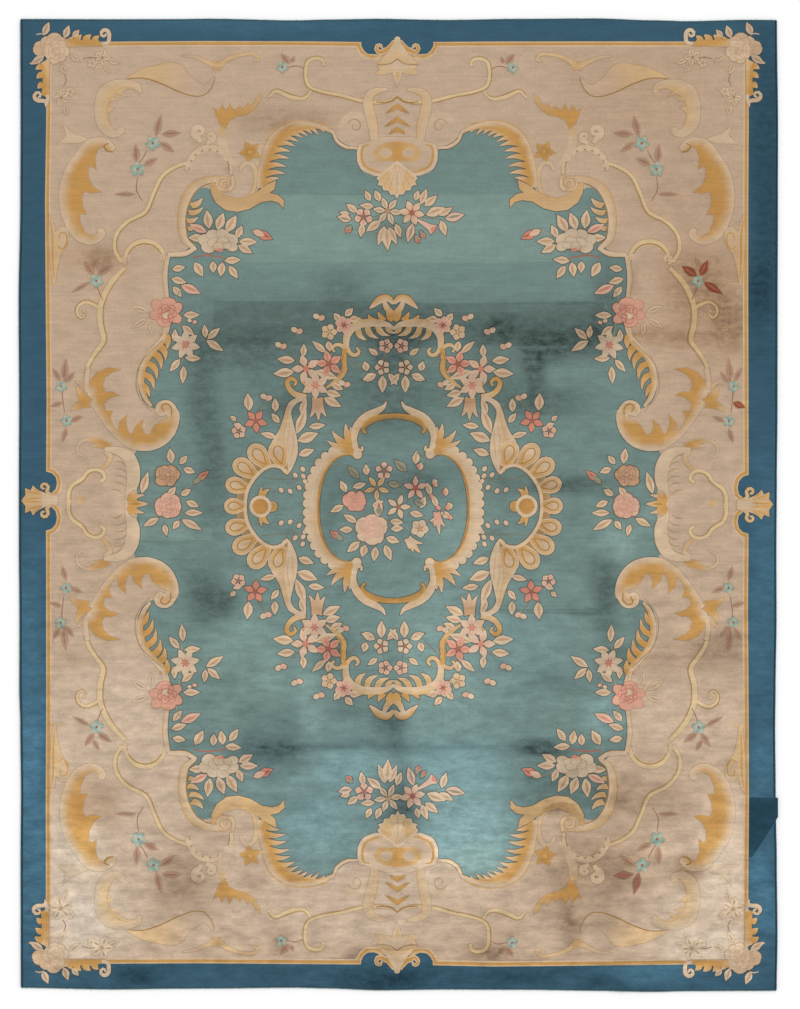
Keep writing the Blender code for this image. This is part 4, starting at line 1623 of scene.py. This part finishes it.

# Nap and dye lots: wool from one dye bath ran out and the next took over in straight rows. Feet and
# sun changed the rest, and the pile leans in soft clouds, painted in as shade and light. Each row of PATCHES:
# ground, across, down, reach across, reach down, how much lighter (worn and faded pile, and painted shade and
# light of the leaning pile) and how much warmer in percent.
PATCHES = (
    ("border", 33, 180, 16, 170, -8, 0), ("border", 33, 720, 16, 160, 44, 0),
    ("border", 33, 885, 16, 90, 26, 0), ("border", 765, 190, 18, 180, -34, 0),
    ("border", 765, 590, 18, 125, 30, 0), ("border", 762, 892, 14, 46, 64, 0),
    ("border", 250, 24, 140, 10, 18, 0), ("border", 385, 978, 50, 12, -50, 0),
    ("border", 140, 978, 24, 12, -44, 0), ("border", 520, 978, 60, 12, -28, 0),
    ("border", 655, 970, 50, 12, 46, 2), ("beige", 150, 730, 130, 110, 14, -4),
    ("beige", 200, 890, 190, 90, 12, -3), ("beige", 75, 865, 36, 76, 26, -7),
    ("beige", 90, 930, 46, 36, 24, -7), ("beige", 640, 740, 110, 120, 6, -2),
    ("beige", 650, 915, 130, 70, 16, -4), ("beige", 724, 855, 28, 66, 40, -7),
    ("beige", 705, 948, 46, 20, 32, -7), ("beige", 400, 900, 120, 60, 10, -3),
    ("beige", 98, 256, 14, 15, -30, 6), ("beige", 88, 258, 40, 12, -10, 5),
    ("beige", 285, 120, 50, 14, -22, 4), ("beige", 640, 95, 90, 60, -10, 3),
    ("beige", 612, 300, 13, 46, -36, 4), ("beige", 705, 288, 36, 36, -30, 9),
    ("beige", 738, 325, 22, 28, -32, 9), ("beige", 665, 336, 64, 9, -28, 9),
    ("beige", 700, 310, 50, 100, -8, 3), ("beige", 60, 632, 14, 8, -26, 4),
    ("beige", 80, 662, 26, 12, -20, 3), ("beige", 88, 802, 26, 26, -36, 11),
    ("beige", 720, 650, 30, 18, -38, 4), ("beige", 660, 660, 40, 14, -18, 3),
    ("beige", 555, 802, 60, 10, -62, 9), ("beige", 640, 800, 60, 20, -24, 4),
    ("beige", 594, 884, 50, 46, -46, 6), ("beige", 492, 956, 20, 10, -56, 8),
    ("beige", 385, 955, 40, 11, -58, 5), ("beige", 285, 948, 10, 18, -32, 5),
    ("beige", 190, 885, 28, 34, -42, 5), ("beige", 690, 868, 16, 15, -62, 12),
    ("field", 398, 228, 168, 36, 10, 1), ("field", 255, 322, 56, 26, -20, 0),
    ("field", 395, 318, 86, 20, -34, 0), ("field", 560, 328, 60, 22, -30, 0),
    ("field", 614, 300, 20, 44, -28, 0), ("field", 345, 288, 22, 16, -20, 0),
    ("field", 485, 378, 40, 34, -26, 0), ("field", 300, 364, 62, 34, -20, 0),
    ("field", 392, 400, 50, 34, -34, 0), ("field", 230, 350, 50, 20, -22, 0),
    ("field", 545, 402, 46, 14, -34, 0), ("field", 534, 364, 13, 30, -46, 0),
    ("field", 206, 430, 15, 92, -36, 0), ("field", 240, 425, 28, 72, -6, 0),
    ("field", 325, 500, 12, 52, -18, 0), ("field", 458, 542, 26, 42, 22, 0),
    ("field", 212, 598, 26, 32, -48, 0), ("field", 602, 590, 14, 42, -42, 0),
    ("field", 565, 486, 44, 9, -46, 0), ("field", 618, 542, 24, 20, 34, 0),
    ("field", 240, 640, 46, 24, 24, 0), ("field", 330, 654, 25, 22, -24, 0),
    ("field", 436, 665, 44, 66, 34, 0), ("field", 525, 650, 52, 52, 12, -3),
    ("field", 606, 712, 26, 20, 34, -3), ("field", 610, 656, 17, 15, -26, 0),
    ("field", 275, 722, 34, 20, -20, -2), ("field", 272, 752, 38, 18, -46, -2),
    ("field", 400, 746, 140, 5, -42, -2), ("field", 390, 722, 22, 16, -40, -2),
    ("field", 532, 742, 20, 9, -62, -2), ("field", 455, 768, 50, 28, 36, -5),
    ("field", 350, 768, 40, 22, 26, -4), ("field", 468, 842, 44, 46, 70, -4),
    ("field", 318, 838, 42, 42, 26, -5), ("field", 396, 806, 17, 24, -50, 0),
    ("field", 566, 782, 60, 34, -34, 1), ("field", 400, 790, 190, 74, 12, -6),
    ("field", 400, 650, 200, 90, 6, -2), ("field", 582, 348, 42, 17, -38, 0),
    ("field", 393, 350, 26, 22, -44, 0), ("field", 300, 406, 34, 14, -22, 0),
    ("field", 490, 332, 26, 14, -26, 0), ("field", 400, 482, 44, 18, -22, -1),
    ("field", 505, 480, 16, 14, -20, 0), ("field", 652, 506, 14, 12, 34, 0),
    ("field", 555, 682, 30, 14, -22, -1), ("field", 352, 705, 14, 16, -26, 0),
    ("beige", 58, 762, 12, 30, 18, -1), ("border", 762, 764, 14, 34, 42, 0),
    ("beige", 430, 872, 20, 20, 18, -2), ("beige", 592, 930, 32, 14, -22, 3),
    ("border", 765, 292, 14, 30, -20, 0), ("beige", 628, 286, 14, 20, -34, 4),
    ("field", 306, 690, 14, 56, 30, 0), ("field", 397, 720, 8, 110, -22, 0),
    ("field", 430, 856, 24, 26, 24, -3), ("beige", 690, 190, 70, 40, -10, 2),
    ("beige", 120, 705, 80, 46, 10, -1), ("beige", 690, 718, 80, 26, 12, -1),
    ("beige", 672, 847, 66, 9, 18, -2), ("beige", 455, 882, 50, 16, 18, -2),
    ("beige", 62, 838, 15, 36, 16, -2), ("beige", 370, 957, 28, 10, -44, 3),
    ("border", 33, 758, 14, 40, 34, 0), ("field", 236, 604, 14, 10, -16, 0),
    ("field", 392, 232, 22, 14, -28, 0), ("field", 218, 232, 22, 14, -20, 0),
    ("field", 578, 232, 20, 14, -24, 0), ("beige", 292, 130, 26, 9, -14, 4),
    ("beige", 495, 130, 26, 9, -14, 4), ("field", 412, 332, 24, 12, -24, 0),
    ("field", 505, 330, 14, 14, -22, 0), ("field", 556, 356, 16, 12, -20, 0),
    ("field", 280, 405, 18, 12, -16, 0), ("field", 355, 478, 22, 18, -22, -1),
    ("field", 420, 480, 24, 16, -20, -1), ("field", 342, 655, 20, 12, -20, 0),
    ("field", 380, 780, 20, 12, -20, 0), ("beige", 618, 780, 24, 14, -16, 2),
    ("field", 300, 806, 20, 10, -20, 0), ("beige", 205, 830, 22, 12, -16, 2),
    ("beige", 730, 852, 10, 14, -16, 2), ("beige", 256, 880, 16, 14, -20, 3),
    ("beige", 505, 932, 18, 10, -18, 3), ("beige", 605, 955, 18, 8, -18, 3),
    ("border", 280, 980, 20, 8, -24, 0), ("border", 605, 982, 18, 8, -30, 0),
    ("beige", 130, 505, 12, 14, 20, 0), ("beige", 655, 505, 12, 14, 24, 0),
    ("field", 228, 580, 16, 12, 24, 0), ("beige", 155, 630, 18, 14, 18, 0),
    ("beige", 705, 630, 18, 14, 18, 0), ("field", 268, 680, 22, 14, 20, 0), ("beige", 80, 832, 16, 10, 16, 0),
    ("beige", 555, 856, 16, 12, 18, 0), ("beige", 56, 892, 9, 24, 16, 0), ("beige", 228, 882, 9, 12, 16, 0),
    ("beige", 680, 905, 20, 13, 18, -2), ("beige", 80, 955, 18, 10, 18, -1),
    ("beige", 620, 868, 60, 30, -9, 4), ("field", 395, 500, 70, 90, 2, -2), ("field", 475, 860, 34, 14, 8, 4),
    ("beige", 575, 938, 10, 30, -24, 4), ("beige", 592, 905, 16, 40, 16, -1),
    ("beige", 716, 822, 12, 14, -22, 6),
)
DRIFT_TURNS = ((0.0, 0.021, 1.3), (0.017, 0.011, 0.2), (0.043, 0.013, 2.1), (0.029, -0.037, 4.0))


def away_from(line, places):
    """How far each place is from a line of points."""
    line = np.array(line, float)
    runs = line[1:] - line[:-1]
    offsets = places[:, None] - line[None, :-1]
    shares = np.sum(offsets * runs[None], axis=2) / np.maximum(np.sum(runs * runs, axis=1), 1e-9)
    offsets -= np.clip(shares, 0, 1)[:, :, None] * runs[None]
    return np.linalg.norm(offsets, axis=2).min(axis=1)


def toned(wool, ground, points):
    """The wool's colour at each of these places in squares, and how much lighter or darker the pile is there:
    worn and faded pile, and painted shade and light of the leaning pile. A motif shows less of the ground's
    patches.
    """
    light = np.zeros(len(points))
    warm = np.zeros(len(points))
    wander = sum(np.sin(points[:, 0] * i + points[:, 1] * j + k) for i, j, k in DRIFT_TURNS)
    for name, across, down, reach_across, reach_down, lighter, warmer in PATCHES:
        if name == ground:
            aside = (points[:, 0] + 2.5 * wander - across) / reach_across
            below = (points[:, 1] + 1.5 * wander - down) / reach_down
            share = np.exp(-(np.abs(aside) ** 3) - np.abs(below) ** 3)
            light += lighter * share / 100
            warm += warmer * share / 100
    follow = 1.0 if wool.split()[-1] == ground else 0.55
    warm *= follow
    tint = np.stack([1 + warm, np.ones(len(points)), 1 - warm], axis=1)
    return wool_colours[wool] * tint, follow * np.clip(light, -0.58, 0.75)


dice = np.random.default_rng(7)
area_light = 1.0 + dice.normal(0.0, DYE_SPREAD, len(pattern) + 1)
wool_colours = {name: np.array(linear(colour)) for name, colour in DYES.items()}
# The painted shade of the carved slopes, by ground; slopes over cream, gold and ochre take that of the beige.
for ground, colour in SLOPE_SHADES.items():
    wool_colours["slope on " + ground] = np.array(linear(colour))
wool_colours["slope on cream"] = wool_colours["slope on gold"] = wool_colours["slope on beige"]
wool_colours["slope on ochre"] = wool_colours["slope on beige"]
dyes = np.zeros((len(corners), 3, 3))
worn_and_nap_shades = np.zeros((len(corners), 3))
order = np.argsort(corner_owner, kind="stable")
bounds_of = np.searchsorted(corner_owner[order], np.arange(len(owner_keys) + 1))
for owner, (face, ground, standing) in enumerate(owner_keys):
    chosen = order[bounds_of[owner] : bounds_of[owner + 1]]
    if not len(chosen):
        continue
    places = plan_points[corners[chosen]].reshape(-1, 2)
    # A slope round a motif gets its painted shade colour.
    if face == "slope":
        colour, worn_and_nap_shade = toned("slope on " + ground, ground, places)
        dyes[chosen] = colour.reshape(-1, 3, 3)
        worn_and_nap_shades[chosen] = worn_and_nap_shade.reshape(-1, 3)
        continue
    number = face_areas[face]
    wool = face_wools[face]
    colour, worn_and_nap_shade = toned(wool, ground, places)
    worn_and_nap_shades[chosen] = worn_and_nap_shade.reshape(-1, 3)
    one = pattern[number] if number >= 0 else None
    if one and one["fade"] and wool == one["wool"]:
        other, start, *end = one["fade"]
        if len(end) == 1:
            end = end[0]
            run = np.array(end, float) - np.array(start, float)
            share = np.clip((places - start) @ run / (run @ run), 0, 1)[:, None]
        else:
            share = np.clip((away_from(start, places) - end[0]) / (end[1] - end[0]), 0, 1)[:, None]
        colour = toned(other, ground, places)[0] * (1 - share) + colour * share
    own_light = area_light[number] if one and one["layer"] == "motif" else 1.0
    dyes[chosen] = (colour * own_light).reshape(-1, 3, 3)

used = np.unique(corners)
renumber = np.full(len(plan_points), -1)
renumber[used] = np.arange(len(used))
top_corners = renumber[corners]
rim_edges = {}
for a, b, c in top_corners.tolist():
    for start, end in ((a, b), (b, c), (c, a)):
        if (end, start) in rim_edges:
            del rim_edges[(end, start)]
        else:
            rim_edges[(start, end)] = True
next_rim = dict(rim_edges.keys())
rim = [min(next_rim)]
while next_rim[rim[-1]] != rim[0]:
    rim.append(next_rim[rim[-1]])
back_points = [Vector((across, -down)) for across, down in plan_points[used][rim]]
down = top + 6
while down < bottom - 3:
    step = BACK_GRID_STEP if down < 800 else BACK_GRID_STEP / 3
    for across in np.arange(left + 6, right - 3, step):
        back_points.append(Vector((across, -down)))
    down += step
back_plan = delaunay_2d_cdt(back_points, [], [list(range(len(rim)))], 0, 1e-3, True)
back_squares = np.array([(p.x, -p.y) for p in back_plan[0]])
back_places = (back_squares - CARTOON_MIDDLE) * (KNOT, -KNOT)
back_heights = np.array([lift(x, y) for x, y in back_places])
back_of_rim = {}
for new, olds in enumerate(back_plan[3]):
    for old in olds:
        if old < len(rim):
            back_of_rim[rim[old]] = new + len(used)

top_vertices = np.column_stack([rug_points[used], heights[used]])
back_vertices = np.column_stack([back_places, back_heights])
all_vertices = np.vstack([top_vertices, back_vertices])
wall_faces = []
for start, end in zip(rim, rim[1:] + rim[:1]):
    wall_faces.append((end, start, back_of_rim[start], back_of_rim[end]))
back_triangles = [face for face, inside in zip(back_plan[2], back_plan[5]) if inside]
back_faces = [tuple(index + len(used) for index in reversed(face)) for face in back_triangles]
all_faces = [tuple(face) for face in top_corners.tolist()] + wall_faces + back_faces

pile_mesh = bpy.data.meshes.new("carved_pile")
pile_mesh.from_pydata(all_vertices.tolist(), [], all_faces)
corner_colours = np.ones((len(pile_mesh.loops), 4), np.float32)
top_count = len(top_corners) * 3
corner_colours[:top_count, :3] = dyes.reshape(-1, 3)
corner_colours[top_count:, :3] = linear(DYES["border"])
dye = pile_mesh.color_attributes.new("dye", "FLOAT_COLOR", "CORNER")
dye.data.foreach_set("color", corner_colours.ravel())
# Per corner, how much lighter or darker the pile is: worn and faded pile, and painted shade and light of the
# leaning pile.
corner_worn_and_nap_shades = np.zeros(len(pile_mesh.loops), np.float32)
corner_worn_and_nap_shades[:top_count] = worn_and_nap_shades.ravel()
worn_and_nap_shade_values = pile_mesh.attributes.new("worn_and_nap_shade", "FLOAT", "CORNER")
worn_and_nap_shade_values.data.foreach_set("value", corner_worn_and_nap_shades)
pile_mesh.shade_smooth()
pile = bpy.data.objects.new("carved_pile", pile_mesh)
bpy.context.scene.collection.objects.link(pile)
print("pile", len(pile_mesh.vertices), "points", len(top_corners), "triangles on top", len(pattern), "areas")

# Cut wool pile: matt, with a faint bloom where light grazes the fibres. A knot is about 3.6 mm here,
# so the grain is drawn at that size, and the rows of knots show as fine streaks across the rug.
pile_wool, pile_shader = finish_material(
    "cut wool pile", 0.92, Specular_IOR_Level=0.04, Sheen_Weight=0.02, Sheen_Roughness=0.6
)
dye_node = add_node(pile_wool, "ShaderNodeAttribute", {"attribute_name": "dye"})
place_node = add_node(pile_wool, "ShaderNodeTexCoord")
place = place_node.outputs["Object"]
rows_node = add_node(pile_wool, "ShaderNodeMapping", Vector=place, Scale=(7.0, 130.0, 1.0))
rows_noise = add_node(pile_wool, "ShaderNodeTexNoise", Vector=rows_node.outputs[0], Scale=1.0, Detail=3.0)
knots_noise = add_node(pile_wool, "ShaderNodeTexNoise", Vector=place, Scale=240.0, Detail=2.0)
cloud_node = add_node(pile_wool, "ShaderNodeMapping", Vector=place, Scale=(12.0, 26.0, 1.0))
cloud_noise = add_node(
    pile_wool, "ShaderNodeTexNoise", Vector=cloud_node.outputs[0], Scale=1.0, Detail=5.0, Roughness=0.62
)
rows_shade = add_node(
    pile_wool, "ShaderNodeMapRange", Value=rows_noise.outputs[0], i1=0.3, i2=0.7, i3=0.95, i4=1.05
)
knots_shade = add_node(
    pile_wool, "ShaderNodeMapRange", Value=knots_noise.outputs[0], i1=0.3, i2=0.7, i3=0.92, i4=1.08
)
cloud_part = add_node(
    pile_wool, "ShaderNodeMapRange", Value=cloud_noise.outputs[0], i1=0.3, i2=0.7, i3=-1.0, i4=1.0
)
place_parts = add_node(pile_wool, "ShaderNodeSeparateXYZ", Vector=place)
# Painted shade and light of the leaning pile: soft clouds of darker and lighter pile, stronger towards the
# bottom of the rug.
cloud_strength = add_node(
    pile_wool, "ShaderNodeMapRange", Value=place_parts.outputs["Y"], i1=1.0, i2=-1.4, i3=0.08, i4=0.24
)
cloud_shade = add_node(
    pile_wool, "ShaderNodeMath", {"operation": "MULTIPLY_ADD"}, i0=cloud_part.outputs[0], i1=cloud_strength.outputs[0],
    i2=1.0,
)
# The patches of worn, faded and leaning pile from the table above, broken up by noise; the leaning part is
# painted shade and light.
worn_and_nap_shade_node = add_node(pile_wool, "ShaderNodeAttribute", {"attribute_name": "worn_and_nap_shade"})
nap_place = add_node(pile_wool, "ShaderNodeMapping", Vector=place, Scale=(30.0, 46.0, 1.0))
nap_noise = add_node(
    pile_wool, "ShaderNodeTexNoise", Vector=nap_place.outputs[0], Scale=1.0, Detail=6.0, Roughness=0.68
)
nap_break = add_node(
    pile_wool, "ShaderNodeMapRange", Value=nap_noise.outputs[0], i1=0.34, i2=0.66, i3=0.62, i4=1.38
)
nap_shade = add_node(
    pile_wool, "ShaderNodeMath", {"operation": "MULTIPLY_ADD"}, i0=worn_and_nap_shade_node.outputs["Fac"],
    i1=nap_break.outputs[0], i2=1.0,
)
shade_one = add_node(
    pile_wool, "ShaderNodeMath", {"operation": "MULTIPLY"}, i0=rows_shade.outputs[0],
    i1=knots_shade.outputs[0],
)
shade_cloud = add_node(
    pile_wool, "ShaderNodeMath", {"operation": "MULTIPLY"}, i0=shade_one.outputs[0], i1=cloud_shade.outputs[0]
)
shade_two = add_node(
    pile_wool, "ShaderNodeMath", {"operation": "MULTIPLY"}, i0=shade_cloud.outputs[0], i1=nap_shade.outputs[0]
)
shaded = add_node(
    pile_wool, "ShaderNodeVectorMath", {"operation": "SCALE"},
    Vector=dye_node.outputs["Color"],
    Scale=shade_two.outputs[0],
)
pile_bump = add_node(pile_wool, "ShaderNodeBump", Strength=0.5, Distance=0.001, Height=knots_noise.outputs[0])
pile_wool.node_tree.links.new(shaded.outputs[0], pile_shader.inputs["Base Color"])
pile_wool.node_tree.links.new(pile_bump.outputs[0], pile_shader.inputs["Normal"])
pile_mesh.materials.append(pile_wool)

# The overcast sides and bound ends: a cord of blue wool whipped over and over down each long side,
# and a narrow binding across each end, where the cut warps stand out as a short fuzz.
SIDE_CORD_HEIGHT = 0.0105
END_BINDING_HEIGHT = 0.0095
CORNER_TURN = 0.0015
CORNER_TAPER = 0.7
CORNER_CLEARANCE = 0.0018
SECTION_FOOT = 0.30
SECTION_SHOULDER = 0.38
SECTION_ARC_STEPS = 6
EDGING_STEP = 0.009
WRAP_PITCH = 0.003
FUZZ_SPACING = 0.0042
FUZZ_LENGTH = 0.0026
FUZZ_THICKNESS = 0.0011


def swept(path, width, height, end_size):
    """Points and faces of a yarn edging: flat underneath, round above, closed at both ends."""
    section = [(-SECTION_FOOT * width, 0.0), (SECTION_FOOT * width, 0.0)]
    for step in range(SECTION_ARC_STEPS + 1):
        angle = math.pi * step / SECTION_ARC_STEPS
        rise = SECTION_SHOULDER * height
        section.append((width / 2 * math.cos(angle), rise + (height - rise) * math.sin(angle)))
    path = np.array(path)
    ahead = np.gradient(path[:, :2], axis=0)
    ahead /= np.linalg.norm(ahead, axis=1)[:, None]
    points = []
    for place, (run_x, run_y), size in zip(path, ahead, [end_size] + [1.0] * (len(path) - 2) + [end_size]):
        size *= dice.uniform(0.96, 1.0)
        for aside, up in section:
            points.append((
                place[0] + run_y * aside * size, place[1] - run_x * aside * size, place[2] + up * size,
            ))
    count = len(section)
    rings = [[ring * count + step for step in range(count)] for ring in range(len(path))]
    tube = [rings[0][::-1], rings[-1]]
    for ring, following in zip(rings, rings[1:]):
        for step in range(count):
            after = (step + 1) % count
            tube.append([ring[step], ring[after], following[after], following[step]])
    return points, tube


def fuzz(path, outward):
    """Points and faces of the cut warp ends that stand out from the outer side of an end binding."""
    points = []
    strands = []
    across = path[0][0]
    last = path[-1][0]
    places = np.array(path)
    while across < last:
        along = np.interp(across, places[:, 0], places[:, 1]) + outward * END_BINDING_WIDTH * 0.30
        height = np.interp(across, places[:, 0], places[:, 2]) + dice.uniform(0.002, 0.006)
        length = FUZZ_LENGTH * dice.uniform(0.35, 1.25) + END_BINDING_WIDTH * 0.2
        lean = dice.uniform(-0.5, 0.5) * length
        first = len(points)
        half = FUZZ_THICKNESS * dice.uniform(0.4, 0.75)
        for far, size in ((0.0, 1.0), (1.0, 0.45)):
            for aside, up in ((-half, -half), (half, -half), (0.0, half)):
                y = along + outward * length * far
                points.append((across + lean * far + aside * size, y, height * (1 - 0.35 * far) + up * size))
        corners_of = [(0, 2, 1), (3, 4, 5), (0, 1, 4, 3), (1, 2, 5, 4), (2, 0, 3, 5)]
        for corner in corners_of:
            corner = corner if outward < 0 else corner[::-1]
            strands.append([first + step for step in corner])
        across += FUZZ_SPACING * dice.uniform(0.4, 1.6)
    return points, strands


def edging_piece(name, parts, material, node):
    """One finished edging from its lists of points and faces."""
    points = []
    edging_faces = []
    for part_points, part_faces in parts:
        edging_faces += [[len(points) + step for step in face] for face in part_faces]
        points += part_points
    mesh = bpy.data.meshes.new(name)
    mesh.from_pydata(points, [], edging_faces)
    mesh.shade_smooth()
    mesh.materials.append(material)
    piece = bpy.data.objects.new(name, mesh)
    bpy.context.scene.collection.objects.link(piece)
    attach(piece, "root")
    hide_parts(node)
    return piece


def yarn(name, dark, light, turn):
    """Whipped yarn: wraps lie side by side across the edging, with painted shade in the gap beside each."""
    material, shader = finish_material(
        name, 0.92, Specular_IOR_Level=0.04, Sheen_Weight=0.02, Sheen_Roughness=0.6
    )
    place = add_node(material, "ShaderNodeTexCoord").outputs["Object"]
    turned = add_node(material, "ShaderNodeMapping", Vector=place, Rotation=(0.0, 0.0, turn))
    wraps = add_node(
        material, "ShaderNodeTexWave", Vector=turned.outputs[0],
        Scale=math.pi / 10 / WRAP_PITCH,
        Distortion=0.8,
    )
    mottle = add_node(material, "ShaderNodeTexNoise", Vector=place, Scale=60.0, Detail=3.0)
    share = add_node(
        material, "ShaderNodeMath", {"operation": "MULTIPLY"}, i0=wraps.outputs["Color"], i1=mottle.outputs[0]
    )
    # Painted shade: the yarn is darker in the gaps between wraps and lighter on their crowns, mottled through
    # the wool.
    colour = add_node(material, "ShaderNodeMix", {"data_type": "RGBA"}, Factor=share.outputs[0])
    colour.inputs[6].default_value = (*linear(dark), 1.0)
    colour.inputs[7].default_value = (*linear(light), 1.0)
    bump = add_node(material, "ShaderNodeBump", Strength=0.6, Distance=0.0006, Height=wraps.outputs["Color"])
    material.node_tree.links.new(colour.outputs[2], shader.inputs["Base Color"])
    material.node_tree.links.new(bump.outputs[0], shader.inputs["Normal"])
    return material


side_yarn = yarn("overcast side wool", "#28424f", "#3f6274", math.radians(82))
end_yarn = yarn("bound end yarn", "#35565c", "#86a5a3", math.radians(6))
steps_side = round(RUG_LENGTH / EDGING_STEP)
for name, side, outward in (("side_cord_left", 0.0, -1.0), ("side_cord_right", 1.0, 1.0)):
    offset = Vector((outward * (SEAM_GAP + SIDE_CORD_WIDTH / 2), 0.0))
    beside = [body_point(side, step / steps_side) + offset for step in range(steps_side + 1)]
    turn = Vector((-outward * CORNER_TURN, SEAM_GAP + END_BINDING_WIDTH))
    beside = [beside[0] + Vector((turn.x, -turn.y))] + beside + [beside[-1] + turn]
    path = [(place.x, place.y, 0.0) for place in beside]
    tube = swept(path, SIDE_CORD_WIDTH, SIDE_CORD_HEIGHT, CORNER_TAPER)
    edging_piece("overcast_" + name, [tube], side_yarn, name)
steps_end = round(RUG_WIDTH / EDGING_STEP)
for name, end, outward in (("end_binding_top", 1.0, 1.0), ("end_binding_bottom", 0.0, -1.0)):
    beside = [body_point(step / steps_end, end) for step in range(steps_end + 1)]
    beside[0].x += CORNER_CLEARANCE
    beside[-1].x -= CORNER_CLEARANCE
    offset = outward * (SEAM_GAP + END_BINDING_WIDTH / 2)
    path = [(place.x, place.y + offset, lift(place.x, place.y)) for place in beside]
    parts = [swept(path, END_BINDING_WIDTH, END_BINDING_HEIGHT, 1.0), fuzz(path, outward)]
    edging_piece("bound_" + name, parts, end_yarn, name)

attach(pile, "root")
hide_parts("rug_body")
